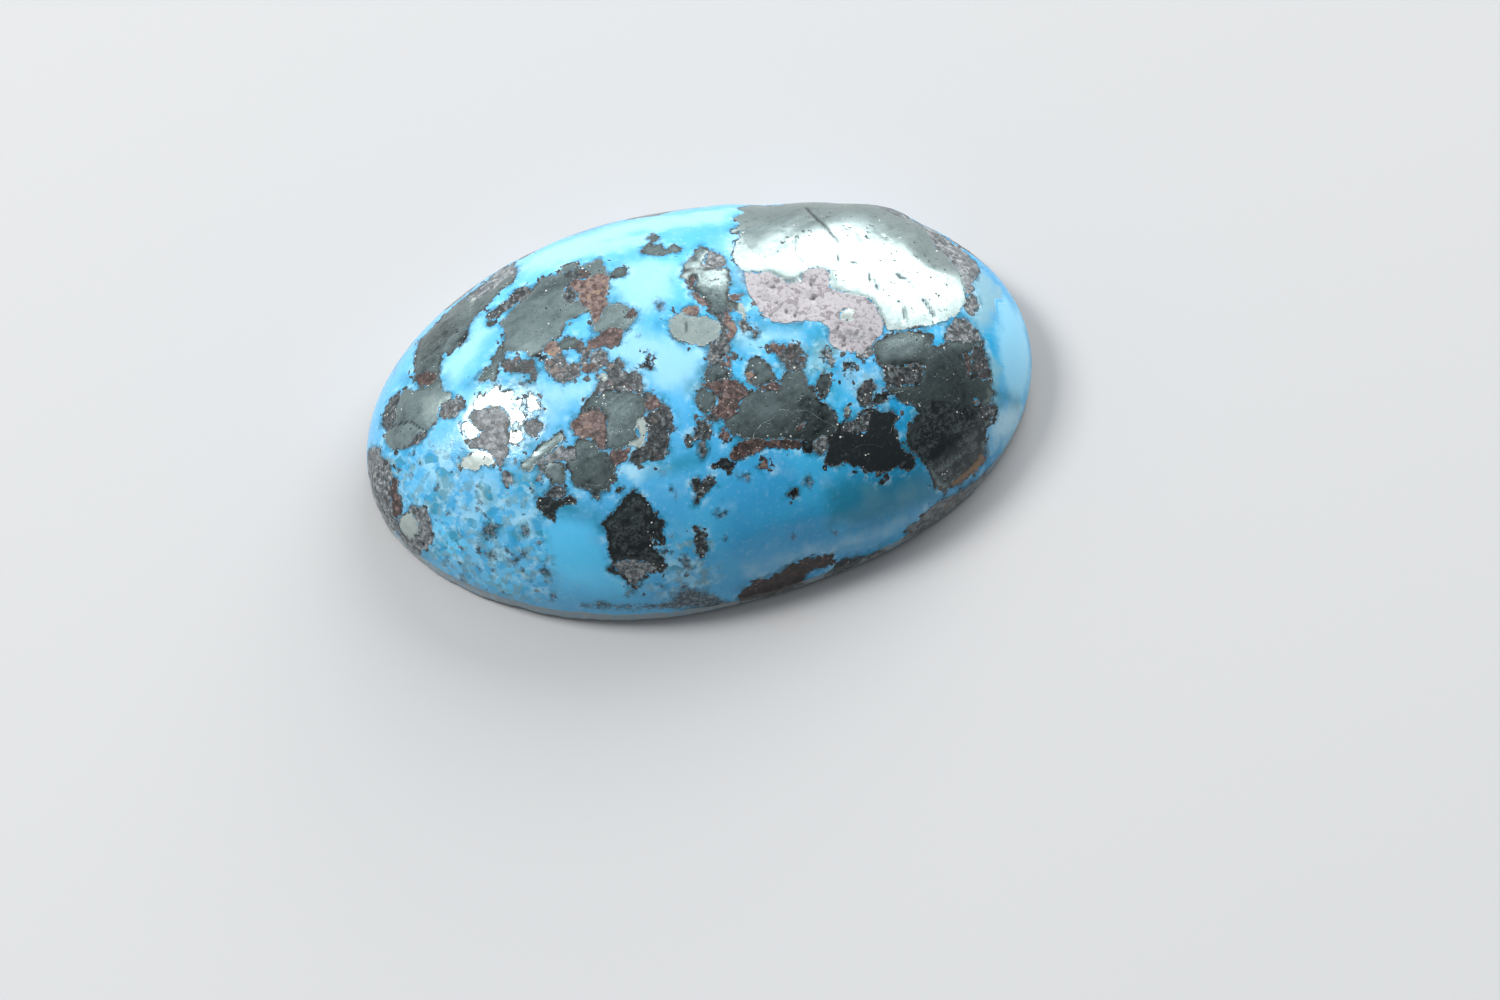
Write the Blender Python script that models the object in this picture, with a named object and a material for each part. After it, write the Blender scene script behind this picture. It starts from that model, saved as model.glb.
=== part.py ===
"""A hand-cut oval turquoise with pyrite in it: one domed solid on a flat ground base, in metres, +Z up.

The origin is at the middle of the base, +X runs along the stone and +Y across it.
"""

import bmesh
import bpy
import numpy as np

MM = 0.001

# Driving dimensions of the stone
LENGTH = 36.2 * MM
WIDTH = 22.8 * MM
HEIGHT = 9.2 * MM
RIM_HEIGHT = 1.0 * MM
RIM_WOBBLE = 0.12 * MM
BEVEL = 0.3 * MM

# The dome's section: the powers make it flatter on top, with fuller shoulders than an ellipse
CROWN = 2.4
SHOULDER = 1.9

# How the hand-cut outline departs from an ellipse: waves round it, each with its cosine and sine share
OUTLINE_WAVES = ((3, 0.010, 0.002), (4, -0.006, 0.002), (5, -0.003, 0.001))

# A soft corner left in the outline, and the flatter run beside it: direction, half-width, how far it stands out
OUTLINE_CORNERS = (
    (np.radians(33.0), np.radians(9.0), 0.40 * MM),
    (np.radians(56.0), np.radians(14.0), -0.25 * MM),
)

# Shallow hollows in the dome, where the softer matrix wore down under the wheel: middle, radii and depth
HOLLOWS = (
    ((6.0 * MM, 1.2 * MM), (3.4 * MM, 2.0 * MM), 0.12 * MM),
    ((-11.1 * MM, -1.6 * MM), (2.0 * MM, 2.2 * MM), 0.10 * MM),
    ((-16.7 * MM, -2.4 * MM), (1.5 * MM, 3.2 * MM), 0.30 * MM),
    ((14.4 * MM, 3.9 * MM), (2.2 * MM, 2.3 * MM), 0.45 * MM),
    ((11.9 * MM, -4.9 * MM), (2.6 * MM, 2.4 * MM), 0.10 * MM),
    ((3.4 * MM, -10.4 * MM), (4.8 * MM, 0.9 * MM), 0.20 * MM),
    ((-5.9 * MM, -3.2 * MM), (2.4 * MM, 1.8 * MM), 0.07 * MM),
)

# Open pits in the crumbly iron-stained matrix: middle, radius and depth
PITS = (
    ((4.3 * MM, 2.2 * MM), 0.55 * MM, 0.20 * MM),
    ((6.7 * MM, 2.2 * MM), 0.50 * MM, 0.16 * MM),
    ((6.5 * MM, 1.1 * MM), 0.55 * MM, 0.18 * MM),
    ((4.9 * MM, 0.4 * MM), 0.50 * MM, 0.20 * MM),
    ((3.7 * MM, 1.5 * MM), 0.50 * MM, 0.16 * MM),
    ((-16.5 * MM, -1.0 * MM), 0.70 * MM, 0.20 * MM),
)

# Facets of the mesh
DOME_GRID_ALONG = 72
DOME_GRID_ACROSS = 48
RIM_STEPS = 3
SHARP_EDGE = np.radians(40.0)

TURQUOISE_COLOUR = (0.13, 0.50, 0.68, 1.0)
POLISH_ROUGHNESS = 0.22


def clear_scene():
    for obj in list(bpy.data.objects):
        bpy.data.objects.remove(obj, do_unlink=True)


def bump(distance):
    """1 at the middle, 0 from distance 1 outwards, smooth between."""
    inside = np.clip(distance, 0.0, 1.0)
    return np.cos(inside * np.pi / 2) ** 2


def outline_radius(angle):
    """Distance from the middle to the outline, in the direction of this angle."""
    ellipse = 1 / np.hypot(np.cos(angle) / (LENGTH / 2), np.sin(angle) / (WIDTH / 2))
    share = 1.0
    for waves, cosine, sine in OUTLINE_WAVES:
        share += cosine * np.cos(waves * angle) + sine * np.sin(waves * angle)
    corners = 0.0
    for direction, half_width, stands_out in OUTLINE_CORNERS:
        corners += stands_out * bump(np.abs(angle - direction) / half_width)
    return ellipse * share + corners


def rim_height(angle):
    """Height of the ground rim under the dome, which a hand-held stone never has quite even."""
    return RIM_HEIGHT + RIM_WOBBLE * (np.sin(2 * angle + 1.0) + 0.6 * np.sin(5 * angle))


def worn_depth(x, y):
    """How far the hollows and pits lower the dome at this place."""
    depth = 0.0
    for (middle_x, middle_y), (radius_x, radius_y), deep in HOLLOWS:
        depth += deep * bump(np.hypot((x - middle_x) / radius_x, (y - middle_y) / radius_y))
    for (middle_x, middle_y), radius, deep in PITS:
        depth += deep * bump(np.hypot(x - middle_x, y - middle_y) / radius)
    return depth


def dome_point(angle, along):
    """The dome's surface in this direction, with along running from 0 on the crest to 1 at the rim."""
    slope = along * np.pi / 2
    share = np.sin(slope) ** (2 / CROWN)
    rise = np.cos(slope) ** (2 / SHOULDER) if along < 1 else 0.0
    x = outline_radius(angle) * share * np.cos(angle)
    y = outline_radius(angle) * share * np.sin(angle)
    rim = rim_height(angle) * along ** 2 + RIM_HEIGHT * (1 - along ** 2)
    z = rim + (HEIGHT - RIM_HEIGHT) * rise - worn_depth(x, y) * min(1.0, 4 * rise)
    return x, y, z


def shape_dome(mesh):
    """Rounds a square grid into a disc, and lifts the disc into the dome."""
    bmesh.ops.create_grid(mesh, x_segments=DOME_GRID_ALONG, y_segments=DOME_GRID_ACROSS, size=1.0)
    for vertex in mesh.verts:
        across, up = vertex.co.x, vertex.co.y
        x = across * np.sqrt(1 - up ** 2 / 2)
        y = up * np.sqrt(1 - across ** 2 / 2)
        vertex.co = dome_point(np.arctan2(y, x), min(1.0, np.hypot(x, y)))


def rim_edges(mesh):
    return [edge for edge in mesh.edges if edge.is_boundary]


def lower_rim_vertex(vertex, step):
    """Puts a vertex of this ring on the upright rim, and one of the last ring on the base."""
    angle = np.arctan2(vertex.co.y, vertex.co.x)
    if step < RIM_STEPS:
        share = step / (RIM_STEPS - 1)
        vertex.co.z = rim_height(angle) * (1 - share) + BEVEL * share
    else:
        foot = (outline_radius(angle) - BEVEL) / outline_radius(angle)
        vertex.co = (vertex.co.x * foot, vertex.co.y * foot, 0.0)


def add_rim(mesh):
    """Draws the dome's edge down as the ground rim, with a small bevel at its foot."""
    for step in range(1, RIM_STEPS + 1):
        grown = bmesh.ops.extrude_edge_only(mesh, edges=rim_edges(mesh))
        for item in grown["geom"]:
            if isinstance(item, bmesh.types.BMVert):
                lower_rim_vertex(item, step)


def close_base(mesh):
    bmesh.ops.contextual_create(mesh, geom=rim_edges(mesh))


def centre_on_box(mesh):
    """Puts the origin at the middle of the base of the stone's box."""
    points = np.array([vertex.co for vertex in mesh.verts])
    low, high = points.min(axis=0), points.max(axis=0)
    middle = (low + high) / 2
    bmesh.ops.translate(mesh, verts=mesh.verts, vec=(-middle[0], -middle[1], -low[2]))


def turquoise_material():
    material = bpy.data.materials.new("turquoise")
    material.use_nodes = True
    shader = material.node_tree.nodes["Principled BSDF"]
    shader.inputs["Base Color"].default_value = TURQUOISE_COLOUR
    shader.inputs["Roughness"].default_value = POLISH_ROUGHNESS
    shader.inputs["Metallic"].default_value = 0.0
    return material


def build_stone(collection):
    mesh = bmesh.new()
    shape_dome(mesh)
    add_rim(mesh)
    close_base(mesh)
    centre_on_box(mesh)
    bmesh.ops.recalc_face_normals(mesh, faces=mesh.faces)
    data = bpy.data.meshes.new("stone")
    mesh.to_mesh(data)
    mesh.free()
    data.materials.append(turquoise_material())
    data.shade_smooth()
    data.set_sharp_from_angle(angle=SHARP_EDGE)
    stone = bpy.data.objects.new("stone", data)
    collection.objects.link(stone)


def main():
    clear_scene()
    collection = bpy.data.collections.new("turquoise_cabochon")
    bpy.context.scene.collection.children.link(collection)
    build_stone(collection)


main()
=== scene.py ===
import functools
import math
from types import SimpleNamespace

import bmesh
import bpy
import numpy as np
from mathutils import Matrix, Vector
from mathutils.bvhtree import BVHTree
from mathutils.geometry import delaunay_2d_cdt


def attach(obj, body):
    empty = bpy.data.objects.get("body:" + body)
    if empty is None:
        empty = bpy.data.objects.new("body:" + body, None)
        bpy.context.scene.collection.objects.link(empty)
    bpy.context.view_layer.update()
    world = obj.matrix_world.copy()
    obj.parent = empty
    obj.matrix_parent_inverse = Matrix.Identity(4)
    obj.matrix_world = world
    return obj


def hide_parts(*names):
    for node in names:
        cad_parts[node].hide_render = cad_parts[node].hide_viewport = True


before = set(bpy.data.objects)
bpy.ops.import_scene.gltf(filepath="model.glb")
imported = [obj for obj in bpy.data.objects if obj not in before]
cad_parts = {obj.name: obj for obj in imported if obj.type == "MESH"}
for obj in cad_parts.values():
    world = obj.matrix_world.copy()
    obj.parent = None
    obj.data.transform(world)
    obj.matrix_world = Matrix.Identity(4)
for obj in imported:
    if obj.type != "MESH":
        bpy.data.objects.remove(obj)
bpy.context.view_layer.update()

MM = 0.001

# The stone's shape in mm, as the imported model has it
LENGTH = 36.2
WIDTH = 22.8
HEIGHT = 9.2
RIM_HEIGHT = 1.0
BEVEL = 0.3
# How far the top of the ground rim wavers: waves round the stone, phase, height
RIM_WAVES = ((2, 1.0, 0.12), (5, 0.0, 0.072))
# The dome's section: its radius to the power CROWN and its height to the power SHOULDER, as shares, make 1
CROWN = 2.4
SHOULDER = 1.9
# The outline's departure from an ellipse: waves round the stone with their cosine and sine, as shares
OUTLINE_WAVES = ((3, 0.010, 0.002), (4, -0.006, 0.002), (5, -0.003, 0.001))
# Its soft corner and flatter run: direction, half width, how far it stands out
OUTLINE_CORNERS = (
    (math.radians(33.0), math.radians(9.0), 0.40),
    (math.radians(56.0), math.radians(14.0), -0.25),
)
# Shallow hollows of the dome: middle, half lengths along x and y, depth
HOLLOWS = (
    ((6.0, 1.2), (3.4, 2.0), 0.12),
    ((-11.1, -1.6), (2.0, 2.2), 0.10),
    ((-16.7, -2.4), (1.5, 3.2), 0.30),
    ((14.4, 3.9), (2.2, 2.3), 0.45),
    ((11.9, -4.9), (2.6, 2.4), 0.10),
    ((3.4, -10.4), (4.8, 0.9), 0.20),
    ((-5.9, -3.2), (2.4, 1.8), 0.07),
)

# The photograph: its size, its scale, and where the middle of the stone's base and its crest lie in it
PHOTO_WIDTH, PHOTO_HEIGHT = 1500, 1000
PIXELS_PER_MM = 18.8
STONE_PIXEL = (701.0, 418.7)
CREST_PIXEL = (698.0, 350.0)
# A ray that misses the stone is moved towards the crest by a pixel at a time, this often at most
MOST_STEPS = 60
VIEW_ELEVATION = math.radians(63.0)
VIEW_AZIMUTH = math.radians(-14.65)
LENS = 100.0
SENSOR = 24.0
CLIP_START, CLIP_END = 0.01, 10

# Facets of the fine mesh, and the spacing of the base's points in mm
GRID_ALONG = 340
GRID_ACROSS = 225
RIM_STEPS = 8
BASE_SPACING = 0.5
# Lower than this in mm, a vertex belongs to the flat back
FLAT = 1e-4

# The markings lie on a chart: the plan, spread outwards by this share of the drop below the crest
DROP_SHARE = 0.46
# A marking is measured no further than this from its edge, in mm
REACH = 1.0
# A tone laid over its own kind fades in over this width in mm inside its edge, so that tones within a mass,
# such as the partly painted sheen of pyrite, change softly
TONE_BLEND = 0.5
# The tone where nothing is laid
FIRST_TONE = 0.2
# Ragged edges: the size and the amount in mm of each wave of the grain that shifts the markings
EDGE_GRAIN = ((1.6, 0.10), (0.7, 0.07), (0.3, 0.05))
# The same for the edge of the ground rim, with the width in mm over which its polish begins
RIM_GRAIN, RIM_BLEND = ((0.9, 0.10), (0.35, 0.06)), 0.16
# The same for cracks, and for the waves of the polished skin, with their mean depth in mm
CRACK_GRAIN = ((0.5, 0.05),)
SKIN_WAVES, SKIN_DEPTH = ((3.5, 0.012), (1.3, 0.004)), 0.016
# Wear in mm: all over grey and rust, and as much more where their crumbs fell out; and of the ground rim
GREY_WEAR, GREY_CRUMBS = 0.025, 0.07
RUST_WEAR, RUST_CRUMBS = 0.02, 0.05
GROUND_ROUGH = 0.05
# How far hard pyrite stands up, the groove along its edge and the pores, in mm
PYRITE_STANDS, GROOVE_DEPTH, GROOVE_REACH = 0.012, 0.02, 0.14
PORE_DEPTH, PORE_FROM = 0.05, 0.72
# Relief begins over this width in mm at the edge of crumbly matrix, and of pyrite
CRUMBLY_BLEND, PYRITE_BLEND = 0.25, 0.12

PYRITE, GREY, RUST, STONE = "pyrite", "grey", "rust", "stone"
PALE, TEAL, PEPPER, SMOKE = "pale", "teal", "pepper", "smoke"
# Kinds that shut each other out, and kinds that only tint the turquoise
HARD_KINDS = (PYRITE, GREY, RUST)
SOFT_KINDS = (PALE, TEAL, PEPPER, SMOKE)

# The markings that the photograph shows. Each is a kind, a tone from dark to light where the kind has one,
# and the corners of its outline in the photograph's pixels. Stone is turquoise that shows through.
# Within a pyrite mass, the lighter and darker pyrite laid over it is partly painted sheen, lighter where the
# mass caught the light.

# Soft mottling of the turquoise. Some of it is painted light: the pale markings of tone 0.35 or less are a
# brighter blue where the stone was brightly lit, the strongest of them a whitish painted reflection beside
# the middle left mass's lower right.
# The pale bands along the lower right edge are a painted reflection, and the pale patch by the left
# highlight and the pale bands along the top edge are partly painted glare and sheen.
MOTTLING = """
pale 0.5 606,276 622,262 652,258 676,268 672,296 650,312 622,304 608,292
pale 0.5 604,340 640,326 668,340 700,350 704,372 690,392 660,390 640,372 612,360
pale 0.6 642,366 668,362 690,372 686,386 660,388 648,380
pale 0.5 728,320 760,324 800,332 806,346 776,340 748,352 736,344
pale 0.5 740,226 790,214 800,236 790,262 752,268 732,256 728,240
pale 0.5 440,362 452,350 470,336 480,318 492,330 478,352 458,380 442,386
pale 0.5 520,262 560,244 620,224 700,212 740,210 720,224 640,232 560,262 526,276
pale 0.5 536,258 560,246 600,238 640,234 664,240 640,248 600,254 560,268
pale 0.5 544,392 566,384 598,376 600,388 586,396 560,404 546,402
pale 0.8 804,352 818,342 838,344 846,356 826,364 812,372 802,364
pale 0.6 842,360 866,370 884,376 880,390 856,396 842,384
pale 0.8 984,350 992,360 1004,366 1002,382 990,392 984,376 982,362
pale 0.8 968,284 1000,288 1004,302 990,330 976,334 968,316
pale 0.6 494,384 520,380 546,386 548,414 536,438 518,448 508,420 500,402
pale 0 992,296 1008,298 1024,326 1034,360 1028,396 1012,404 1002,384 998,340
pale 0.1 996,408 1012,404 1024,408 1012,438 996,446 986,436
pale 0.8 958,262 972,260 986,272 998,290 994,304 980,300 970,284
pale 0.5 430,444 446,440 452,466 444,486 428,478 422,460
pale 0.5 474,484 490,482 498,500 486,516 470,508
pale 0.25 548,524 568,518 590,522 602,540 606,556 622,576 628,592 606,600 584,590 566,580 552,566 544,546
pale 0.25 436,528 452,520 464,530 468,548 458,560 444,556 436,544
pale 0.25 478,574 500,568 522,578 530,592 508,596 486,588
pale 0.1 622,471 640,463 655,464 664,470 650,475 632,477
pale 0.5 456,506 470,504 478,516 474,536 462,532 454,520
pale 0.5 516,512 536,512 534,536 516,540 508,526
pale 0.4 664,556 700,560 712,576 700,584 668,576
pale 0.4 744,566 786,552 830,544 876,532 916,514 936,504 924,518 880,540 836,552 790,562 752,574
pale 0.5 862,488 880,486 884,498 868,500
pale 0.5 898,496 910,484 914,494 902,508
teal 826,484 866,482 900,478 924,470 936,486 940,496 916,510 880,522 828,526
teal 842,478 882,476 920,466 934,482 942,494 920,508 884,522 848,528 824,508
teal 402,374 412,370 413,386 406,391 402,384
teal 441,378 448,374 449,384 444,388
teal 462,383 470,379 477,381 474,388 465,389
teal 500,378 528,375 530,384 512,390 500,388
teal 534,362 543,360 543,370 536,369
teal 656,321 662,317 667,323 662,329 656,327
teal 612,293 620,292 621,300 613,301
teal 738,332 746,331 742,346 740,357 732,356 734,344
teal 730,278 739,278 739,289 731,290
teal 700,366 706,366 704,380 696,392 686,392 684,380 696,378
teal 796,322 826,322 828,340 820,352 806,350 804,338 812,330 796,329
teal 778,362 788,364 784,372 776,371
teal 752,312 766,318 784,323 804,322 808,330 786,330 762,326 750,320
teal 731,266 741,268 745,284 741,298 733,292 730,280
teal 826,386 836,384 840,392 832,400 825,396
teal 646,462 664,462 690,452 700,462 680,472 650,476
teal 812,352 824,354 824,362 812,362
teal 992,392 1006,392 1020,400 1018,410 1000,404 990,400
teal 906,412 918,404 918,424 908,446 898,452 898,440 906,430
teal 514,472 538,472 540,490 526,500 512,492
teal 430,490 446,486 450,502 446,512 430,512 424,502
teal 486,494 492,493 495,502 489,506 485,500
teal 424,542 438,540 442,556 430,564 421,556
teal 552,500 574,502 600,512 604,530 590,520 560,516
pepper 380,450 420,446 448,434 462,460 470,476 514,480 540,470 544,520 552,560 560,600 520,604 470,588
  430,564 420,530 402,510 390,480
pepper 470,382 500,372 540,384 544,420 534,450 516,474 500,440 512,404
pepper 655,540 700,530 716,548 720,590 690,606 650,600 640,584 664,572
pepper 790,344 826,340 846,354 884,378 884,412 858,412 846,380 812,376
"""

# The sheet along the far left, and the bits beside it. Its lightest bit, a small white streak, is a painted
# glint
FAR_LEFT = """
pyrite 0.42 515,261 500,268 488,279 476,288 462,299 450,309 436,323 424,336 419,350 415,366 413,380 420,388
  432,387 440,381 437,366 440,354 452,350 463,341 469,326 479,313 492,301 499,290 511,282 517,273
grey 0.74 514,262 500,269 488,280 476,289 466,298 470,302 482,296 493,288 500,280 512,274 516,268
pyrite 0.24 446,316 432,328 420,340 416,356 413,372 424,372 438,366 444,350 458,338 466,326 460,316
pyrite 0.1 450,350 452,341 460,337 465,330 471,327 468,337 462,343 455,347
rust 0.3 413,374 424,370 433,371 436,378 428,385 418,384
pyrite 1 467,308 469,302 474,295 476,299 473,309
pyrite 0.85 444,352 445,341 452,333 466,325 462,333 452,340 449,350
grey 0.35 519,288 526,285 534,289 530,296 523,299 516,303 510,308 503,313 497,318 490,321 486,317 487,311
  494,309 502,304 508,299 512,293
pyrite 0.3 488,321 494,321 493,326 489,326
pyrite 0.32 502,347 496,352 492,358 489,368 482,371 477,377 480,381 487,379 495,381 498,374 498,366 503,362
  506,352
"""

# The upper left mass, with the blue window that it closes round
UPPER_LEFT = """
pyrite 0.5 505,319 513,309 522,301 530,294 536,286 541,277 556,275 562,269 561,266 569,264 578,262 577,270
  585,265 592,263 599,258 603,266 608,273 609,287 607,297 610,303 624,305 629,310 636,311 635,318 629,330
  618,327 606,329 598,331 592,327 593,318 590,309 582,312 572,318 565,321 562,331 560,337 551,340 546,346
  540,353 530,357 526,351 512,350 502,348 506,341 504,331 500,325
pyrite 0.34 520,302 531,292 541,278 556,276 574,266 590,267 582,282 566,290 548,296 530,305
pyrite 0.52 530,322 546,316 562,320 560,334 550,341 540,351 528,352 524,342 526,330
pyrite 0.38 506,326 512,317 522,312 524,324 518,336 510,346 504,342
grey 0.3 562,272 585,268 594,274 580,281 573,290 578,299 568,303 561,299 564,289 569,281
rust 0.62 604,272 608,276 608,288 606,296 609,303 604,309 601,318 595,328 593,318 590,309 583,306 580,300
  578,294 572,289 571,283 575,279 584,279 591,276 598,271
rust 0.45 611,326 620,327 625,331 621,339 617,344 611,346 603,345 601,349 594,350 587,351 585,345 590,340
  596,338 601,334 606,330
rust 0.4 624,312 631,309 636,312 634,318 627,317
pyrite 0.22 551,336 555,333 560,337 559,341 552,341
pyrite 0.15 530,357 539,353 549,356 561,357 558,362 545,362 537,359
rust 0.68 551,341 558,341 561,346 563,352 560,356 553,357 548,354 541,352 545,346
pyrite 0.35 558,342 567,338 575,337 582,340 580,345 570,349 561,348
pyrite 0.32 610,272 613,268 619,266 627,268 625,274 617,277 611,276
grey 0.45 561,352 570,349 578,346 586,345 590,350 601,348 608,352 609,360 603,367 593,372 584,373 578,378
  571,381 565,384 559,381 553,377 550,371 545,366 543,359 552,358
stone 566,352 575,347 583,350 583,360 578,365 568,363 563,358
rust 0.45 582,366 590,361 598,364 596,369 586,373 581,371
pyrite 0.05 586,354 591,352 592,356 587,357
"""

# Down the left side. The four lightest pyrite bits, where the left highlight falls, are partly painted
# highlight
LEFT_SIDE = """
grey 0.2 503,357 512,358 525,359 531,358 536,362 534,368 538,374 535,383 529,381 530,375 518,371 506,371
  500,366 501,360
rust 0.45 511,357 519,356 520,360 512,361
smoke 516,385 520,381 526,382 527,388 518,390
smoke 500,393 507,396 513,393 514,399 504,402
grey 0.4 382,415 386,405 392,397 399,390 401,398 397,408 396,418 392,427 384,431 381,424
pyrite 0.5 404,389 414,391 424,389 434,385 440,381 441,390 449,391 449,399 441,402 439,410 438,420 432,428
  424,431 415,438 411,444 402,448 392,450 386,445 384,434 387,430 395,422 396,412 398,402 401,394
pyrite 0.68 418,394 432,388 441,391 438,404 436,416 428,424 420,420 416,408
pyrite 0.36 388,432 396,418 400,404 408,396 410,412 404,426 396,438 390,444
grey 0.5 441,402 450,398 458,401 463,406 458,412 452,418 444,418 439,413
grey 0.4 413,436 420,430 428,431 424,438 415,445 404,449 409,442
grey 0.62 374,446 379,449 380,460 389,462 391,472 397,478 399,492 401,506 400,520 396,531 390,533 380,517
  371,491 367,470 367,455
rust 0.35 391,477 396,480 397,492 400,505 401,514 396,521 392,517 392,505 391,492
grey 0.66 413,507 424,509 429,517 430,528 431,538 428,545 424,550 420,557 412,552 402,543 396,532 400,520
  406,514
pyrite 0.86 401,520 406,514 413,515 417,523 416,533 411,539 404,535 400,528
grey 0.66 466,419 471,411 478,407 490,406 499,406 505,412 509,420 509,430 506,440 508,450 503,461 500,466
  494,461 490,452 480,449 470,450 466,444 472,440 478,432 470,424
smoke 484,522 494,521 499,528 497,537 489,538 480,534 480,527
smoke 519,527 526,523 532,527 530,536 522,538
smoke 482,553 490,551 500,556 498,562 489,562
smoke 505,560 514,556 521,552 527,551 530,555 521,559 516,566 511,566
smoke 443,558 449,557 450,564 445,567
smoke 459,576 465,578 466,584 460,582
smoke 538,570 546,566 552,574 553,581 546,577 540,577
smoke 549,595 556,592 557,599 550,601
smoke 464,507 469,508 470,513 465,511
pyrite 1 456,464 463,457 470,455 477,450 488,452 497,459 490,466 483,464 474,471 466,466
pyrite 1 472,404 480,392 484,396 496,384 500,392 514,391 510,398 524,402 518,408 527,417 520,430 526,438
  516,446 508,440 511,428 508,414 499,404 486,405 476,409
pyrite 1 530,392 541,398 536,403 543,410 532,412 526,404
pyrite 1 458,424 468,419 472,427 480,432 470,441 464,436
stone 512,402 518,404 514,410 509,408
stone 514,424 520,420 521,428 515,432
grey 0.45 526,424 538,418 544,426 536,436 528,434
grey 0.6 500,470 508,472 511,480 505,486 501,480
"""

# The middle left mass
MIDDLE_LEFT = """
grey 0.42 600,372 606,368 612,362 620,359 625,362 622,367 620,372 627,374 632,370 637,373 641,376 640,384
  643,388 641,397 632,393 620,392 610,391 601,392 597,396 594,391 598,384 602,380 598,376
pyrite 0.95 600,373 605,372 608,376 605,380 600,379
pyrite 0.34 597,396 604,391 618,391 632,392 641,396 644,402 646,411 642,418 637,424 636,434 640,440 630,441
  628,447 621,449 612,448 606,441 606,428 605,416 602,410 594,406 588,410 583,409 588,401 592,396
pyrite 0.4 610,398 624,396 636,400 640,410 632,420 620,424 612,416
pyrite 0.12 584,409 588,401 592,396 596,399 597,405 593,409 587,411
grey 0.22 644,393 651,393 653,399 662,401 668,409 673,417 672,424 675,431 668,432 664,430 667,438 668,446
  664,453 664,461 655,462 646,460 640,464 630,462 633,452 640,448 646,446 647,436 646,424 647,414 644,404
rust 0.45 643,403 649,401 654,397 659,400 661,405 656,410 648,411 644,408
pyrite 0.98 638,422 643,419 646,424 646,431 647,441 643,448 635,447 629,444 631,441 639,440 641,434 637,429
pyrite 0.32 575,440 583,438 592,439 598,442 602,449 609,450 614,457 618,464 616,470 615,478 611,486 606,490
  600,492 592,490 583,487 575,485 571,479 570,470 566,465 569,456 573,448
pyrite 0.16 602,452 610,452 616,462 614,476 608,486 600,486 602,470
rust 0.55 572,419 580,414 588,411 595,409 600,411 604,418 608,424 608,434 609,442 606,448 601,448 597,441
  590,438 580,438 574,434 570,427
pyrite 0.25 608,440 616,439 628,440 630,446 622,449 612,448 607,445
rust 0.5 612,448 622,449 630,447 632,452 628,458 622,462 617,466 613,462 610,455
pyrite 0.85 572,476 580,478 593,484 590,488 580,484
pyrite 0.3 590,491 600,493 599,497 592,497
pyrite 0.46 556,431 562,430 562,438 558,444 552,451 545,457 537,462 534,468 527,471 521,468 520,463 527,459
  533,453 540,446 548,440 553,436
pyrite 0.95 521,462 527,459 531,462 529,469 522,468
grey 0.72 556,447 561,442 566,448 574,449 576,456 568,460 560,460 552,461 545,463 537,461 545,457 552,452
grey 0.7 537,463 545,463 549,460 551,464 545,468 543,475 541,482 537,480 540,473 537,468
pyrite 0.45 546,464 552,462 563,462 565,470 565,480 563,488 556,491 549,490 551,482 550,476 545,472
grey 0.35 549,489 556,484 563,486 567,494 560,499 552,498 544,495
pyrite 0.05 540,497 546,494 553,497 562,499 570,497 576,500 575,504 568,502 560,506 555,511 553,517 543,516
  539,507
"""

# The near-black mass low in the middle
LOW_MIDDLE = """
pyrite 0.05 633,491 638,494 644,497 649,504 652,511 655,519 660,521 666,525 663,528 660,529 663,536 664,544
  658,543 655,538 649,540 652,547 657,552 662,558 664,566 661,572 655,571 648,573 643,578 638,584 633,587
  628,583 624,577 619,573 609,570 613,566 617,563 613,557 610,549 609,541 606,532 603,525 608,519 614,513
  619,508 622,501 628,495
pyrite 0.18 612,516 626,500 640,504 648,520 640,534 622,532 610,528
pyrite 0.14 616,540 632,546 648,552 656,560 640,560 620,556
grey 0.66 614,564 624,561 636,560 648,563 657,566 658,571 648,573 641,578 636,586 630,583 624,577 617,571
smoke 623,597 627,590 634,588 633,596 628,598
pyrite 0.25 617,491 619,486 623,487 620,492
"""

# Top, left of the big mirror
TOP_MIDDLE = """
pyrite 0.35 647,238 652,233 656,235 659,239 654,240 650,239
pyrite 0.38 641,251 645,246 649,243 654,246 661,244 664,249 669,250 672,246 675,245 679,248 676,252 668,253
  660,255 650,254
smoke 654,300 657,297 661,300 668,304 664,311 656,310
smoke 636,336 641,334 641,341 637,340
pyrite 0.1 648,354 650,358 649,363 652,368 646,369 643,366 647,361
pyrite 0.36 703,246 709,251 704,257 701,262 704,268 694,270 686,269 683,265 689,260 692,255 697,250
grey 0.68 709,250 716,252 724,258 726,264 718,268 705,268 702,261
pyrite 0.27 688,270 700,268 710,269 720,268 726,266 728,272 729,280 728,290 727,300 727,310 727,318 722,320
  714,318 709,310 709,303 703,299 698,295 694,290 688,286 685,280 678,278 682,273
rust 0.45 689,276 694,275 696,281 694,288 689,286
rust 0.5 691,293 698,292 706,300 708,308 703,306 696,299
rust 0.62 727,295 735,293 742,294 740,299 731,300
pyrite 0.3 728,301 735,301 736,309 729,311
pyrite 0.75 737,303 742,302 745,307 747,317 743,317 738,312
pyrite 0.7 670,321 675,315 681,312 690,318 700,319 710,319 716,320 720,325 722,333 720,340 712,340 708,346
  700,346 690,344 682,342 676,339 671,333 669,327
rust 0.7 680,312 687,308 696,306 699,311 693,318 686,317
grey 0.4 716,318 724,318 727,328 727,337 730,341 722,342 718,336 720,328
rust 0.6 722,312 728,311 730,318 734,323 736,331 731,338 726,336 727,327 723,320
grey 0.45 737,319 745,317 748,327 750,332 744,332 739,326
grey 0.35 751,329 756,324 759,331 756,339 752,336
"""

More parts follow.
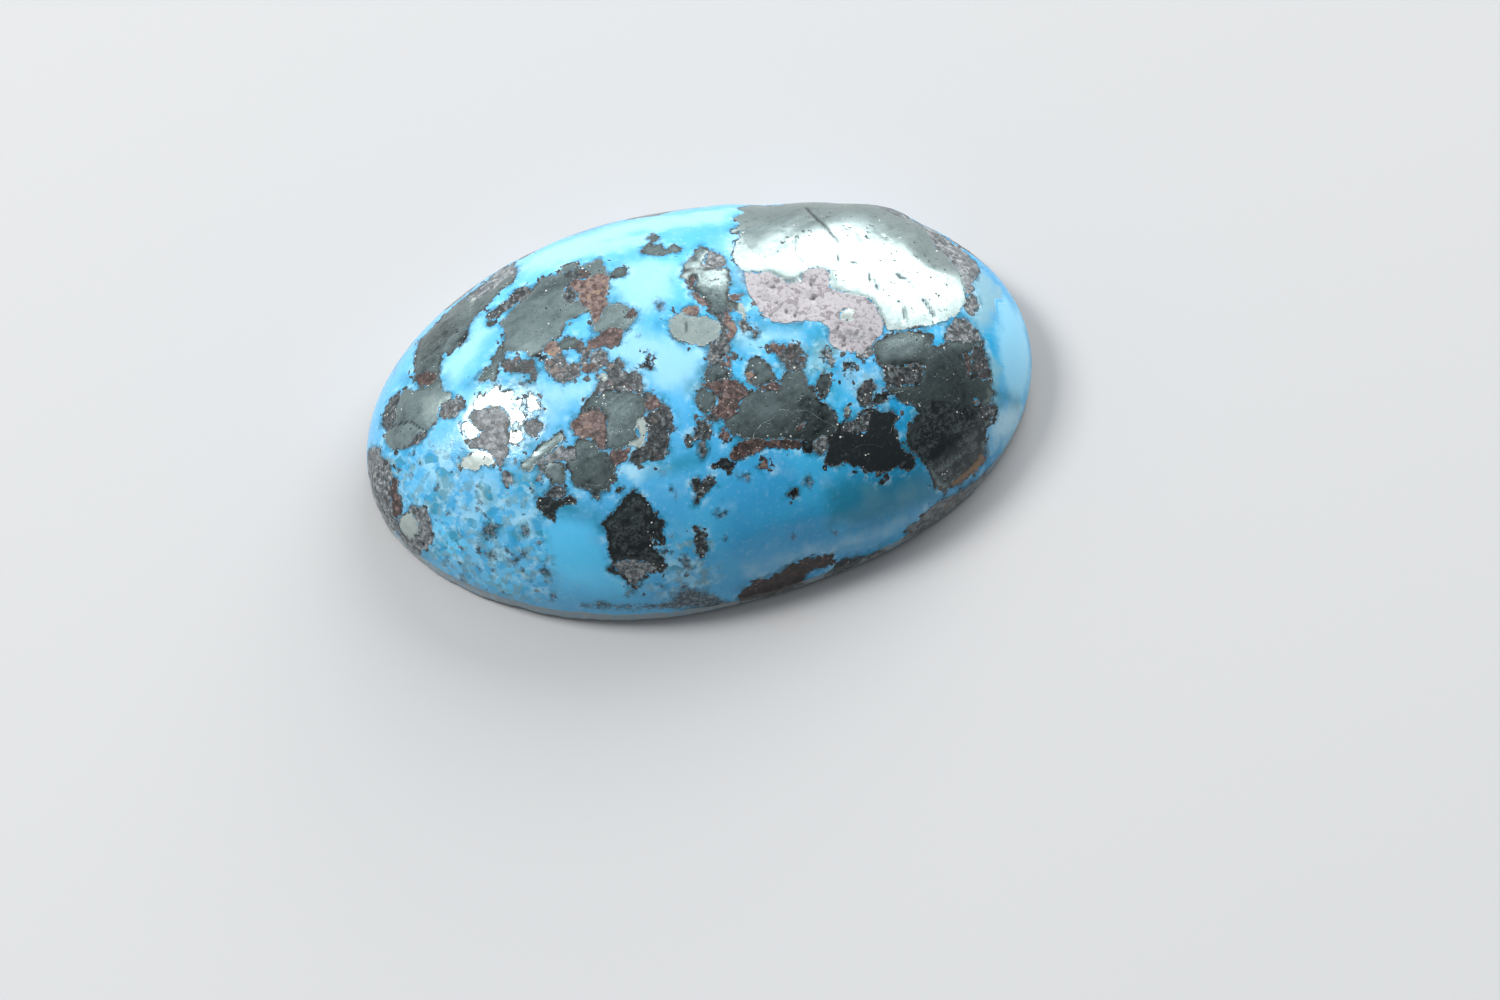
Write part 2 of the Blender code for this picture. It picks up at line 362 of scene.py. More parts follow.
# The column below it
COLUMN = """
grey 0.45 711,341 722,341 728,345 731,353 733,360 730,368 731,376 728,380 710,381 704,378 706,366 707,356
  709,347
pyrite 0.3 706,366 720,362 728,368 729,375 724,380 704,380
pyrite 0.05 717,352 726,351 725,355 719,357
rust 0.5 727,350 732,356 730,366 725,363
rust 0.36 704,384 712,380 722,378 732,379 738,383 742,389 747,394 746,400 740,402 738,410 736,417 728,419
  720,418 712,413 717,404 720,397 716,390 706,388
pyrite 0.32 697,392 704,388 712,391 718,396 715,404 712,411 707,414 703,409 699,404 695,399
grey 0.3 698,419 704,421 710,425 711,433 707,438 702,441 697,437 690,442 687,439 688,435 694,436 697,428
grey 0.25 706,412 714,414 722,419 716,423 709,420 704,422
grey 0.3 698,443 705,442 706,450 702,458 699,450
"""

# The middle right mass
MIDDLE_RIGHT = """
pyrite 0.3 747,359 753,357 759,356 764,361 768,365 773,369 776,373 773,378 776,384 770,391 760,391 754,385
  749,380 745,378 746,370
rust 0.75 746,373 751,370 756,373 756,379 750,381 746,379
rust 0.42 768,344 774,341 777,345 784,345 783,351 780,356 775,352 769,349
grey 0.3 778,355 783,350 790,346 797,345 802,350 806,356 805,364 803,372 796,374 788,372 784,364 780,359
rust 0.3 796,356 803,356 804,363 798,365
pyrite 0.35 743,398 750,393 760,391 770,391 776,384 781,379 790,373 803,372 806,378 808,386 815,392 817,400
  825,406 833,409 836,416 834,422 840,424 836,432 828,436 820,437 812,441 800,440 788,440 775,438 765,439
  752,440 745,438 738,434 732,436 726,428 724,421 730,418 737,411 739,402
pyrite 0.2 796,398 812,392 820,402 834,410 836,422 832,434 816,438 800,438 796,420
pyrite 0.5 752,402 770,396 784,400 782,414 768,424 752,420
rust 0.3 758,386 770,383 781,382 783,388 777,392 764,391
rust 0.4 719,436 721,430 727,430 729,436 727,441 722,441
rust 0.3 735,446 742,442 748,441 757,438 770,441 785,438 797,438 803,443 798,447 787,448 777,447 768,449
  758,451 753,455 744,458 735,462 730,459 732,453
pyrite 0.15 799,441 812,441 815,447 812,454 804,451
grey 0.6 814,440 826,433 830,440 828,450 820,457 815,452
rust 0.55 794,430 800,424 806,422 804,427 797,432
"""

# The black mass and the bits above it. The small lightest bit above it is a painted glint
BLACK_MASS = """
pyrite 0.28 816,384 818,379 823,375 829,379 831,384 828,389 825,393 823,398 821,392 817,388
pyrite 0.2 843,366 848,363 853,366 857,371 850,371 845,369
grey 0.4 825,349 829,352 832,358 836,366 831,367 826,361 824,355
grey 0.3 861,385 866,383 873,382 877,386 875,392 872,398 871,405 866,409 861,404 858,399 857,392
pyrite 0.12 874,400 877,393 882,391 887,394 887,401 880,403 875,404
pyrite -0.05 826,463 828,455 830,450 829,442 829,434 834,427 841,423 846,421 850,421 858,419 861,413 866,409
  873,409 879,414 885,413 891,412 897,416 898,419 893,424 894,431 897,438 899,446 903,452 909,455 914,459
  915,465 912,470 905,470 898,466 893,469 884,472 872,473 862,470 853,470 850,466 845,464 836,466
grey 0.46 841,424 849,421 858,420 863,414 870,412 872,420 868,430 858,434 848,432 842,430
pyrite 1 844,410 846,406 849,408 849,412 846,413
pyrite 0.05 844,415 848,414 848,420 845,420
"""

# The big mirror along the top right, the crumbly rim beside it and the lilac matrix under it
MIRROR = """
pyrite 0.55 733,232 740,223 733,218 747,213 739,208 752,204 798,202 830,200 860,200 891,206 915,215 922,222
  930,235 938,245 948,255 956,265 961,275 964,285 966,295 965,305 958,312 950,318 940,322 925,325 905,328
  888,330 884,320 878,308 872,300 860,296 845,292 830,288 800,283 790,283 780,277 768,271 752,271 742,271
  736,262 731,255 733,245 740,238 741,232 750,229
grey 0.7 915,216 926,222 938,231 950,241 964,251 976,262 978,272 972,280 974,290 968,294 964,284 959,271
  952,260 940,248 930,237
grey 0.35 933,237 939,240 941,250 936,248
grey 0.35 950,250 958,254 959,267 953,262
grey 0.55 968,296 976,294 980,304 974,314 967,310
grey 0.88 743,271 757,272 772,271 780,277 790,283 800,281 801,273 808,267 820,266 829,270 831,278 829,287
  838,291 852,294 866,296 874,303 880,313 884,322 882,332 876,339 870,347 862,352 850,352 840,350 832,345
  828,338 829,328 824,322 814,321 805,320 798,322 785,322 772,318 761,312 757,304 751,297 747,287 744,279
grey 0.83 832,326 846,322 860,323 876,318 882,326 874,338 862,346 850,346 838,342 830,336
pyrite 0.95 840,311 848,308 855,311 853,318 846,320 840,318
grey 0.6 872,340 866,348 858,354 862,358 872,357 876,350
"""

# The big right mass
RIGHT_MASS = """
pyrite 0.32 875,341 882,337 892,334 905,332 918,331 925,333 930,336 931,343 937,347 945,341 952,338 962,337
  970,338 978,335 982,340 983,348 986,353 988,362 989,372 992,380 990,387 995,392 991,399 994,404 998,409
  998,416 993,419 990,427 984,424 981,430 983,438 986,445 984,452 985,458 981,463 972,470 962,477 953,484
  950,488 943,489 936,487 933,479 931,471 928,464 922,460 921,452 912,447 908,441 908,434 911,428 916,423
  918,415 915,407 908,404 902,403 896,397 890,392 887,386 885,380 882,373 880,366 878,360 875,355 872,349
pyrite 0.44 875,342 882,337 892,334 905,332 918,331 926,334 928,342 923,352 921,362 905,364 890,365 882,364
  877,357 873,350
pyrite 0.24 884,357 900,353 918,353 930,357 926,372 910,376 894,374 884,366
pyrite 0.52 882,342 896,337 912,336 918,342 906,348 890,352
pyrite 0.28 934,350 948,344 960,346 968,354 970,370 968,386 958,398 944,400 930,396 926,384 928,366
pyrite 0.05 916,404 930,400 950,399 968,403 984,402 994,404 992,420 986,432 986,446 986,457 980,465 968,475
  953,486 943,490 935,486 930,472 924,460 912,450 906,440 912,426 918,414
rust 0.35 963,352 968,351 972,362 971,377 967,377 967,362
stone 931,340 934,336 939,338 939,343 935,348 931,346
pyrite 0.88 940,345 944,341 941,350 936,357 927,362 922,361 926,355 934,351
grey 0.28 882,366 895,365 907,366 918,363 925,367 923,378 917,387 905,386 897,388 889,386 884,376
grey 0.62 951,324 957,319 965,318 971,322 975,330 980,334 982,341 972,342 962,341 953,341 944,339 946,330
grey 0.3 974,342 983,348 988,362 990,376 982,380 975,370 972,356
rust 0.7 972,398 979,399 981,404 975,405
grey 0.4 984,404 992,403 998,409 998,416 992,419 984,417 982,410
rust 1 984,452 986,459 979,468 969,476 959,484 952,487 950,483 958,478 967,470 976,461 980,454
"""

# Specks over the lower right
SPECKS = """
grey 0.28 693,477 697,475 700,482 706,480 709,474 713,476 715,482 713,488 708,488 705,495 700,500 697,504
  694,502 697,494 693,489 691,483
pyrite 0.12 712,466 718,461 724,459 731,461 737,463 734,468 729,471 723,469 718,468
smoke 736,478 744,473 748,471 752,475 751,482 748,484 744,480
rust 0.5 758,467 762,461 765,457 769,460 769,466 772,468 766,470 760,469
pyrite 0.15 789,495 792,491 796,489 797,493 793,496
smoke 800,480 805,477 808,472 812,476 815,483 812,488 806,485 802,482
smoke 666,488 670,484 674,488 675,495 677,500 673,500 672,494 668,491
smoke 660,471 664,470 665,476 661,477
smoke 711,513 718,510 726,511 731,512 728,517 722,521 716,520
grey 0.35 696,531 701,529 704,536 707,545 705,555 700,560 697,550 695,541
smoke 722,540 726,536 728,541 724,544
smoke 791,538 793,533 797,539 792,541
smoke 830,531 834,528 839,532 835,536
pyrite 0.15 880,482 882,478 886,479 885,484
smoke 852,475 856,473 857,477 853,478
smoke 681,554 687,553 689,560 694,566 693,571 684,571 680,564
smoke 680,583 688,582 690,590 682,592
smoke 658,589 662,584 667,588 670,593 662,590
smoke 738,478 734,474 738,472
"""

# Along the lower edge
LOWER_EDGE = """
smoke 577,603 590,603 600,600 612,605 625,604 640,606 655,604 670,600 680,592 690,588 700,592 712,592
  722,599 735,601 742,607 722,612 700,612 680,611 650,610 620,610 600,609 580,607
rust 0.18 738,598 742,592 750,588 760,580 772,577 784,570 792,564 803,561 815,559 826,557 833,556 835,562
  826,567 815,570 806,575 802,584 806,590 797,593 785,597 770,600 755,604 742,608
grey 0.25 826,577 835,567 845,560 858,561 872,556 886,551 888,556 870,565 850,572 835,580
grey 0.74 905,541 908,528 920,520 930,510 938,503 950,497 962,489 975,482 990,470 990,482 966,504 950,516
  935,529 918,540
"""

# In this order they are painted, later ones over earlier ones
SEEN_MARKINGS = (
    MOTTLING + FAR_LEFT + UPPER_LEFT + LEFT_SIDE + MIDDLE_LEFT + LOW_MIDDLE
    + TOP_MIDDLE + COLUMN + MIDDLE_RIGHT + BLACK_MASS + MIRROR + RIGHT_MASS + SPECKS + LOWER_EDGE
)

# Markings out of the camera's sight, with the corners on the chart in mm
FAR_SIDE_MARKINGS = """
pyrite 0.55 8.4,8.6 10.5,7.9 13.4,6.6 14.2,7.8 12.4,9.6 10.8,10.4 9.6,11.6 8.2,10.6
grey 0.6 12.6,9.2 14.6,7.4 15.8,8 14.4,10 12.6,11.2 11.4,10.6
pyrite 0.35 -1.8,11.9 0.2,11.3 1.4,12.1 3,11.9 3.4,13.1 2,13.5 1.6,14.7 -0.2,14.3 -1.4,13.3
rust 0.4 3,11.7 4.4,12.1 5,13.3 3.8,14.1 2.6,13.5 3.4,12.9
grey 0.35 -8.6,10.9 -6.6,12.1 -5,12.5 -5.4,13.5 -7.6,13.3 -9.8,12.3
pyrite 0.4 -13.8,9.1 -12.4,9.7 -11.2,11.1 -11.8,11.9 -13.6,10.9 -14.8,10.1
rust 0.3 -11.4,11.1 -10.2,11.3 -10.6,12.5 -11.8,12.1
pyrite 0.15 5.6,13.1 6.6,12.7 7.4,13.7 6.6,14.5 5.8,14.1
grey 0.3 0,15.9 1.6,15.1 4.6,15.1 6.8,14.5 7,15.3 4,16.3 1,16.5
rust 0.2 -6,14.3 -3,15.1 -1,15.7 -1.4,16.5 -5,15.9 -7,14.9
grey 0.4 17.6,5.9 19.2,4.1 20.2,4.5 19.4,6.3 18,7.3
teal -4.6,11.3 -2.4,11.9 -2.6,14.1 -4.8,13.7 -5.8,12.3
pale 0.5 8.6,12.1 10.6,11.7 11,13.1 9,13.9
pepper -18,5.5 -15.4,7.9 -12,12.1 -8,13.9 -9,15.5 -14,12.9 -18.4,8.9
"""

# Markings of the ground back, with the corners in plan in mm
BACK_MARKINGS = """
pyrite 0.45 6.5,3.5 9,4.2 11.5,3.4 12.6,1.2 11.4,-1 12.2,-3 10,-3.8 8.2,-2.2 8.8,0.2 6.4,1 5.6,2.2
rust 0.4 4.4,1.2 6.4,1 8.8,0.2 8.2,-2.2 6.6,-1.4 5.2,-0.4
grey 0.3 -1,-11.6 2,-8.2 5.2,-7.4 8,-7 9.4,-8.4 6,-11.6
rust 0.2 0.6,-11.8 2.6,-9 5,-8.4 6.2,-9.6 5,-12
grey 0.6 -18.5,2 -15.4,0.8 -14.2,-1.6 -15,-4.4 -18.5,-5
pyrite 0.25 -11.2,3.6 -8.6,5.2 -6,4.8 -5.2,2.6 -7,1.4 -9.6,1.8
grey 0.45 -6,4.8 -3.8,5.6 -2.8,3.8 -5.2,2.6
pyrite 0.15 -5,-4.2 -2.6,-3.2 -1.6,-4.6 -2.4,-6.4 -4.4,-6.2
rust 0.5 -1.6,-4.6 -0.2,-4.2 -0.4,-5.8 -2.4,-6.4
grey 0.4 1,6.4 3.4,7.2 5,9 4,12 1.6,12 2,8.8
teal -13,-6 -8,-7 -6,-10.5 -11,-9.8
pale 0.5 -3,7 0,8 0.6,11 -3.4,11
pepper -16,-6 -12,-3 -9,-4 -6,-8 -8,-11 -13,-9
"""

# A crack this deep in mm gets the full painted shade
CRACK_FULL_SHADE_DEPTH = 0.07
# Cracks and slots, in the photograph's pixels: half the width in mm, depth in mm, line. Each is cut in and
# painted with shade, darker the deeper it is
CRACKS = (
    (0.14, 0.055, ((806, 207), (813, 214), (819, 220), (825, 225))),
    (0.10, 0.060, ((819, 220), (829, 229), (835, 236), (839, 242))),
    (0.08, 0.04, ((838, 240), (841, 248), (843, 256), (846, 262))),
    (0.07, 0.04, ((840, 258), (836, 265), (832, 272), (831, 278))),
    (0.08, 0.05, ((793, 240), (796, 250), (801, 258), (804, 264))),
    (0.16, 0.07, ((897, 273), (901, 277), (906, 278))),
    (0.09, 0.05, ((906, 278), (911, 281), (914, 289))),
    (0.08, 0.07, ((870, 272), (870, 281))),
    (0.09, 0.07, ((863, 283), (867, 284))),
    (0.08, 0.07, ((872, 283), (877, 286), (878, 292))),
    (0.10, 0.07, ((851, 261), (859, 263))),
    (0.09, 0.07, ((838, 254), (837, 259))),
    (0.10, 0.08, ((924, 300), (929, 308), (935, 317))),
    (0.08, 0.06, ((903, 306), (904, 317))),
    (0.09, 0.06, ((386, 431), (393, 426), (401, 422), (411, 422), (418, 427), (427, 432))),
    (0.09, 0.05, ((686, 323), (686, 331))),
)

# A pit reaches this many times its radius along x and along y of the chart
PIT_STRETCH = (1.3, 0.9)
# Open pits, in the photograph's pixels: middle, radius in mm, depth in mm. Each is painted with shade,
# darkest in its middle
PITS = (
    ((759, 285), 0.22, 0.16),
    ((773, 286), 0.30, 0.20),
    ((765, 297), 0.24, 0.22),
    ((758, 301), 0.18, 0.12),
    ((803, 279), 0.28, 0.18),
    ((813, 280), 0.24, 0.18),
    ((811, 283), 0.20, 0.12),
    ((813, 297), 0.26, 0.24),
    ((805, 300), 0.22, 0.16),
    ((787, 311), 0.26, 0.22),
    ((795, 314), 0.20, 0.14),
    ((791, 292), 0.16, 0.12),
    ((783, 289), 0.16, 0.12),
    ((777, 303), 0.22, 0.12),
    ((769, 311), 0.20, 0.10),
    ((838, 327), 0.20, 0.14),
    ((856, 322), 0.22, 0.16),
    ((868, 325), 0.20, 0.12),
    ((844, 344), 0.20, 0.12),
    ((721, 352), 0.30, 0.18),
    ((722, 391), 0.24, 0.12),
    ((588, 354), 0.26, 0.14),
    ((421, 546), 0.26, 0.20),
    ((431, 536), 0.20, 0.14),
    ((385, 463), 0.24, 0.14),
    ((395, 403), 0.22, 0.10),
    ((645, 393), 0.28, 0.14),
    ((596, 494), 0.20, 0.10),
    ((847, 412), 0.24, 0.12),
    ((905, 466), 0.26, 0.12),
)

# Linear colours of the stone and what grew in it
TURQUOISE_DEEP = (0.008, 0.300, 0.590)
TURQUOISE_MID = (0.028, 0.400, 0.700)
TURQUOISE_LIGHT = (0.165, 0.470, 0.720)
TURQUOISE_PALE = (0.430, 0.700, 0.810)
# A brighter blue for painted light
TURQUOISE_PAINTED_LIGHT = (0.100, 0.560, 0.860)
TURQUOISE_TEAL = (0.006, 0.185, 0.280)
CREAM = (0.400, 0.520, 0.430)
STAINED_BLUE = (0.012, 0.095, 0.150)
GREYED_BLUE = (0.150, 0.290, 0.330)
DARK_BROWN = (0.022, 0.016, 0.012)
PYRITE_TONES = ((0.0, (0.022, 0.029, 0.031)), (0.2, (0.125, 0.160, 0.158)), (0.5, (0.240, 0.305, 0.300)),
                (1.0, (0.400, 0.455, 0.420)))
GREY_TONES = ((0.0, (0.010, 0.013, 0.014)), (0.4, (0.036, 0.047, 0.049)), (0.7, (0.133, 0.149, 0.156)),
              (0.95, (0.300, 0.322, 0.328)))
LILAC, DARK_LILAC = (0.375, 0.355, 0.372), (0.170, 0.148, 0.158)
RUST_TONES = ((0.0, (0.016, 0.012, 0.012)), (0.28, (0.046, 0.028, 0.024)), (0.5, (0.100, 0.057, 0.048)),
              (0.75, (0.195, 0.140, 0.128)), (1.0, (0.270, 0.160, 0.065)))
SMOKE_DARK, SMOKE_LIGHT = (0.016, 0.034, 0.045), (0.200, 0.240, 0.255)
SAWN_COLOUR = (0.360, 0.370, 0.350)
# Painted shade in cracks and pits
CRACK_SHADE_COLOUR = (0.022, 0.028, 0.034)
# Painted glints: the colour of grains that flash in the light
PAINTED_GLINT_COLOUR = (0.80, 0.81, 0.74)
SPECULAR_LEVEL = 0.44
# Pale markings of this tone are a brighter blue: painted light where the stone was brightly lit
PAINTED_LIGHT_TONE = 0.25
# The tone of the grey in seams and crumbs
SEAM_TONE = 0.20
# A grain gets a painted glint where its random value, times a patchy share, is over this
LUCKY_GRAIN = 0.78
# The wheel's arcs on the pyrite: their far middle in mm, and how close they lie
WHEEL_MIDDLE = (-22.0, 60.0, 0.0)
WHEEL_ARCS = 3.2
SAWN_ROUGHNESS = 0.78
BUMP_STRENGTH = 0.8
# How light the turquoise is, partly its own paler blue and partly painted light, paler towards the back and
# the left where the studio is brighter: in the middle, by how much more per mm along x and y, and at the
# most
PALENESS_AND_PAINTED_LIGHT_MIDDLE, PALENESS_AND_PAINTED_LIGHT_SLOPE, PALENESS_AND_PAINTED_LIGHT_MOST = 0.34, (-1 / 40, 1 / 70), 0.58

# The floor's half width in metres
FLOOR_REACH = 1.5
FLOOR_COLOUR = (0.46, 0.46, 0.46)
FLOOR_ROUGHNESS = 0.9
# Soft lights, this far off in metres: name, azimuth and elevation in degrees, size in metres, watts
SOFTBOX_DISTANCE = 0.60
SOFTBOXES = (("window", 50, 28, (0.54, 0.42), 4.3), ("second_window", 152, 52, (0.17, 0.19), 3.2))
# The studio's brightness against how far a direction points behind the stone and to its left
WORLD_SIDE = (-0.36, 1.0, 0.0)
WORLD_RAMP = {"From Min": -0.65, "From Max": 0.30, "To Min": 0.17, "To Max": 0.80}
WORLD_COLOUR = (0.88, 0.94, 1.0)


def camera_axes():
    """Unit vectors of the view: to the right, up, and back towards the camera."""
    sin_a, cos_a = math.sin(VIEW_AZIMUTH), math.cos(VIEW_AZIMUTH)
    sin_e, cos_e = math.sin(VIEW_ELEVATION), math.cos(VIEW_ELEVATION)
    right = Vector((cos_a, sin_a, 0))
    back = Vector((sin_a * cos_e, -cos_a * cos_e, sin_e))
    return right, back.cross(right), back


def add_camera():
    right, up, back = camera_axes()
    data = bpy.data.cameras.new("camera")
    data.lens, data.sensor_width, data.sensor_fit = LENS, SENSOR, "HORIZONTAL"
    data.clip_start, data.clip_end = CLIP_START, CLIP_END
    camera = bpy.data.objects.new("camera", data)
    bpy.context.scene.collection.objects.link(camera)
    field = PHOTO_WIDTH / PIXELS_PER_MM * MM
    aim = (
        right * (PHOTO_WIDTH / 2 - STONE_PIXEL[0]) / PIXELS_PER_MM * MM
        - up * (PHOTO_HEIGHT / 2 - STONE_PIXEL[1]) / PIXELS_PER_MM * MM
    )
    camera.location = aim + back * field * LENS / SENSOR
    camera.rotation_mode = "QUATERNION"
    camera.rotation_quaternion = back.to_track_quat("Z", "Y")
    bpy.context.scene.camera = camera
    return camera.location.copy()


# The shape


def bump(distance):
    """1 at the middle, 0 from distance 1 outwards, smooth between."""
    return np.cos(np.clip(distance, 0.0, 1.0) * np.pi / 2) ** 2


def outline_radius(angle):
    ellipse = 1 / np.hypot(np.cos(angle) / (LENGTH / 2), np.sin(angle) / (WIDTH / 2))
    share = 1.0
    for waves, cosine, sine in OUTLINE_WAVES:
        share += cosine * np.cos(waves * angle) + sine * np.sin(waves * angle)
    corners = 0.0
    for direction, half_width, stands_out in OUTLINE_CORNERS:
        corners += stands_out * bump(np.abs(angle - direction) / half_width)
    return ellipse * share + corners


def rim_height(angle):
    return RIM_HEIGHT + sum(height * np.sin(waves * angle + phase) for waves, phase, height in RIM_WAVES)


def dome_points(angle, along):
    """The dome's surface in mm, with along running from 0 on the crest to 1 at the rim."""
    slope = along * np.pi / 2
    share = np.sin(slope) ** (2 / CROWN)
    rise = np.clip(np.cos(slope), 0, 1) ** (2 / SHOULDER)
    x = outline_radius(angle) * share * np.cos(angle)
    y = outline_radius(angle) * share * np.sin(angle)
    worn = 0.0
    for (middle_x, middle_y), (radius_x, radius_y), deep in HOLLOWS:
        worn = worn + deep * bump(np.hypot((x - middle_x) / radius_x, (y - middle_y) / radius_y))
    rim = rim_height(angle) * along ** 2 + RIM_HEIGHT * (1 - along ** 2)
    return np.stack([x, y, rim + (HEIGHT - RIM_HEIGHT) * rise - worn * np.minimum(1, 4 * rise)], axis=1)


def positions(mesh):
    """Positions of all of a mesh's vertices, in mm."""
    flat = np.empty(len(mesh.vertices) * 3)
    mesh.vertices.foreach_get("co", flat)
    return flat.reshape(-1, 3) / MM


def dome_mesh():
    """A square grid rounded into a disc, and lifted into the dome."""
    work = bmesh.new()
    bmesh.ops.create_grid(work, x_segments=GRID_ALONG, y_segments=GRID_ACROSS, size=1.0)
    mesh = bpy.data.meshes.new("polished_stone")
    work.to_mesh(mesh)
    work.free()
    square = positions(mesh) * MM
    x = square[:, 0] * np.sqrt(1 - square[:, 1] ** 2 / 2)
    y = square[:, 1] * np.sqrt(1 - square[:, 0] ** 2 / 2)
    points = dome_points(np.arctan2(y, x), np.minimum(1, np.hypot(x, y)))
    mesh.vertices.foreach_set("co", (points * MM).ravel())
    return mesh


def corner_number(face, count):
    """A number for each four-sided face, from its first and last corners among this many vertices."""
    corners = [vertex.index for vertex in face.verts]
    return min(corners) * count + max(corners)


def add_rim(work):
    """Draws the dome's edge down as the ground rim, with a small bevel at its foot."""
    for step in range(1, RIM_STEPS + 1):
        edges = [edge for edge in work.edges if edge.is_boundary]
        grown = bmesh.ops.extrude_edge_only(work, edges=edges)
        for vertex in (item for item in grown["geom"] if isinstance(item, bmesh.types.BMVert)):
            angle = math.atan2(vertex.co.y, vertex.co.x)
            if step < RIM_STEPS:
                share = step / (RIM_STEPS - 1)
                vertex.co.z = (rim_height(angle) * (1 - share) + BEVEL * share) * MM
            else:
                foot = 1 - BEVEL / outline_radius(angle)
                vertex.co = (vertex.co.x * foot, vertex.co.y * foot, 0.0)
    # Extruded faces come in another order each run, so all are put in the order of their corners
    work.verts.index_update()
    count = len(work.verts)
    work.faces.sort(key=lambda face: corner_number(face, count))


def fill_base(work):
    """Closes the base with small flat triangles, so that it can carry markings of its own."""
    ring = {vertex for edge in work.edges if edge.is_boundary for vertex in edge.verts}
    ring = sorted(ring, key=lambda vertex: math.atan2(vertex.co.y, vertex.co.x))
    across = np.arange(-LENGTH / 2, LENGTH / 2, BASE_SPACING)
    x, y = (side.ravel() for side in np.meshgrid(across, across))
    inside = np.hypot(x, y) < outline_radius(np.arctan2(y, x)) - BEVEL - BASE_SPACING / 2
    flat = [Vector(vertex.co.xy) for vertex in ring]
    flat += [Vector((a * MM, b * MM)) for a, b in zip(x[inside], y[inside])]
    result = delaunay_2d_cdt(flat, [], [list(range(len(ring)))], 1, 1e-9)
    corners = [
        ring[source[0]] if source and source[0] < len(ring) else work.verts.new((*place, 0.0))
        for place, source in zip(result[0], result[3])
    ]
    for triangle in result[2]:
        work.faces.new([corners[corner] for corner in triangle])


def stone_mesh():
    mesh = dome_mesh()
    work = bmesh.new()
    work.from_mesh(mesh)
    add_rim(work)
    fill_base(work)
    bmesh.ops.recalc_face_normals(work, faces=work.faces)
    points = np.array([vertex.co for vertex in work.verts])
    middle = (points.min(axis=0) + points.max(axis=0)) / 2
    bmesh.ops.translate(work, verts=work.verts, vec=(-middle[0], -middle[1], 0))
    for face in work.faces:
        face.smooth = any(vertex.co.z > 0 for vertex in face.verts)
    work.to_mesh(mesh)
    work.free()
    return mesh


# Where the markings lie


def lattice_noise(points, size, seed):
    """Smooth noise from -1 to 1 with blobs of this size."""
    scaled = points / size
    cell = np.floor(scaled)
    share = scaled - cell
    share = share * share * (3 - 2 * share)
    total = np.zeros(len(points))
    for corner in np.ndindex(2, 2, 2):
        weight = np.prod(np.where(corner, share, 1 - share), axis=1)
        mixed = np.sin((cell + corner) @ (127.1, 311.7, 74.7) + seed * 53.3) * 43758.5453
        total += weight * (mixed - np.floor(mixed))
    return 2 * total - 1


def grain(points, waves, seeds):
    """Waves of noise, each of its own size and amount, added up."""
    return sum(amount * lattice_noise(points, size, seed) for (size, amount), seed in zip(waves, seeds))


def chart(points):
    """Flattens the dome and the rim: the plan in mm, spread outwards by the drop below the crest."""
    flat = points[:, :2]
    reach = np.maximum(np.hypot(flat[:, 0], flat[:, 1]), 1e-6)
    return flat * (1 + DROP_SHARE * (HEIGHT - points[:, 2]) / reach)[:, None]


def pixel_to_stone(tree, eye, pixel):
    """The place in mm where the ray through this pixel meets the stone, or the nearest ray that does."""
    right, up, back = camera_axes()
    pixel, target = np.array(pixel, float), np.array(CREST_PIXEL)
    for _ in range(MOST_STEPS):
        across = (pixel[0] - PHOTO_WIDTH / 2) / PHOTO_WIDTH * SENSOR / LENS
        rise = (PHOTO_HEIGHT / 2 - pixel[1]) / PHOTO_WIDTH * SENSOR / LENS
        place = tree.ray_cast(eye, (right * across + up * rise - back).normalized())[0]
        if place:
            return np.array(place) / MM
        pixel += (target - pixel) / np.hypot(*(target - pixel))
    raise ValueError("no ray near this pixel meets the stone")


def pixels_to_chart(tree, eye, pixels):
    return chart(np.array([pixel_to_stone(tree, eye, pixel) for pixel in pixels]))


def distance_to_line(points, start, end):
    edge = end - start
    share = np.clip((points - start) @ edge / (edge @ edge), 0, 1)
    return np.hypot(*(points - start - share[:, None] * edge).T)


def distance_to_outline(points, outline):
    """Distance of each point from a closed outline, negative inside it."""
    nearest = np.full(len(points), np.inf)
    inside = np.zeros(len(points), bool)
    for start, end in zip(outline, np.roll(outline, -1, axis=0)):
        nearest = np.minimum(nearest, distance_to_line(points, start, end))
        spans = (start[1] > points[:, 1]) != (end[1] > points[:, 1])
        if spans.any():
            slant = (end[0] - start[0]) / (end[1] - start[1])
            inside ^= spans & (points[:, 0] < start[0] + (points[:, 1] - start[1]) * slant)
    return np.where(inside, -nearest, nearest)


def read_markings(table):
    """Markings from words, each as a list of its kind, its tone and its outline."""
    markings = []
    for word in table.split():
        if word[0].isalpha():
            markings.append([word, None, []])
        elif "," in word:
            markings[-1][2].append([float(number) for number in word.split(",")])
        else:
            markings[-1][1] = float(word)
    return markings


def paint(fields, tones, points, chosen, markings):
    """Lays the markings over the chosen vertices, later ones over earlier ones."""
    for kind, tone, outline in markings:
        outline = np.array(outline)
        low, high = outline.min(axis=0) - REACH, outline.max(axis=0) + REACH
        near = chosen & np.all((points > low) & (points < high), axis=1)
        distance = distance_to_outline(points[near], outline)
        hard = kind in HARD_KINDS or kind == STONE
        for other in HARD_KINDS if hard else ():
            if other != kind:
                fields[other][near] = np.maximum(fields[other][near], -distance)
        if kind == STONE:
            continue
        before = fields[kind][near]
        if kind in tones:
            fresh = (before > 0) & (distance < np.minimum(before, REACH))
            share = np.where(fresh, 1.0, inside_share(distance + TONE_BLEND / 2, TONE_BLEND))
            tones[kind][near] += share * (tone - tones[kind][near])
        fields[kind][near] = np.minimum(before, distance)


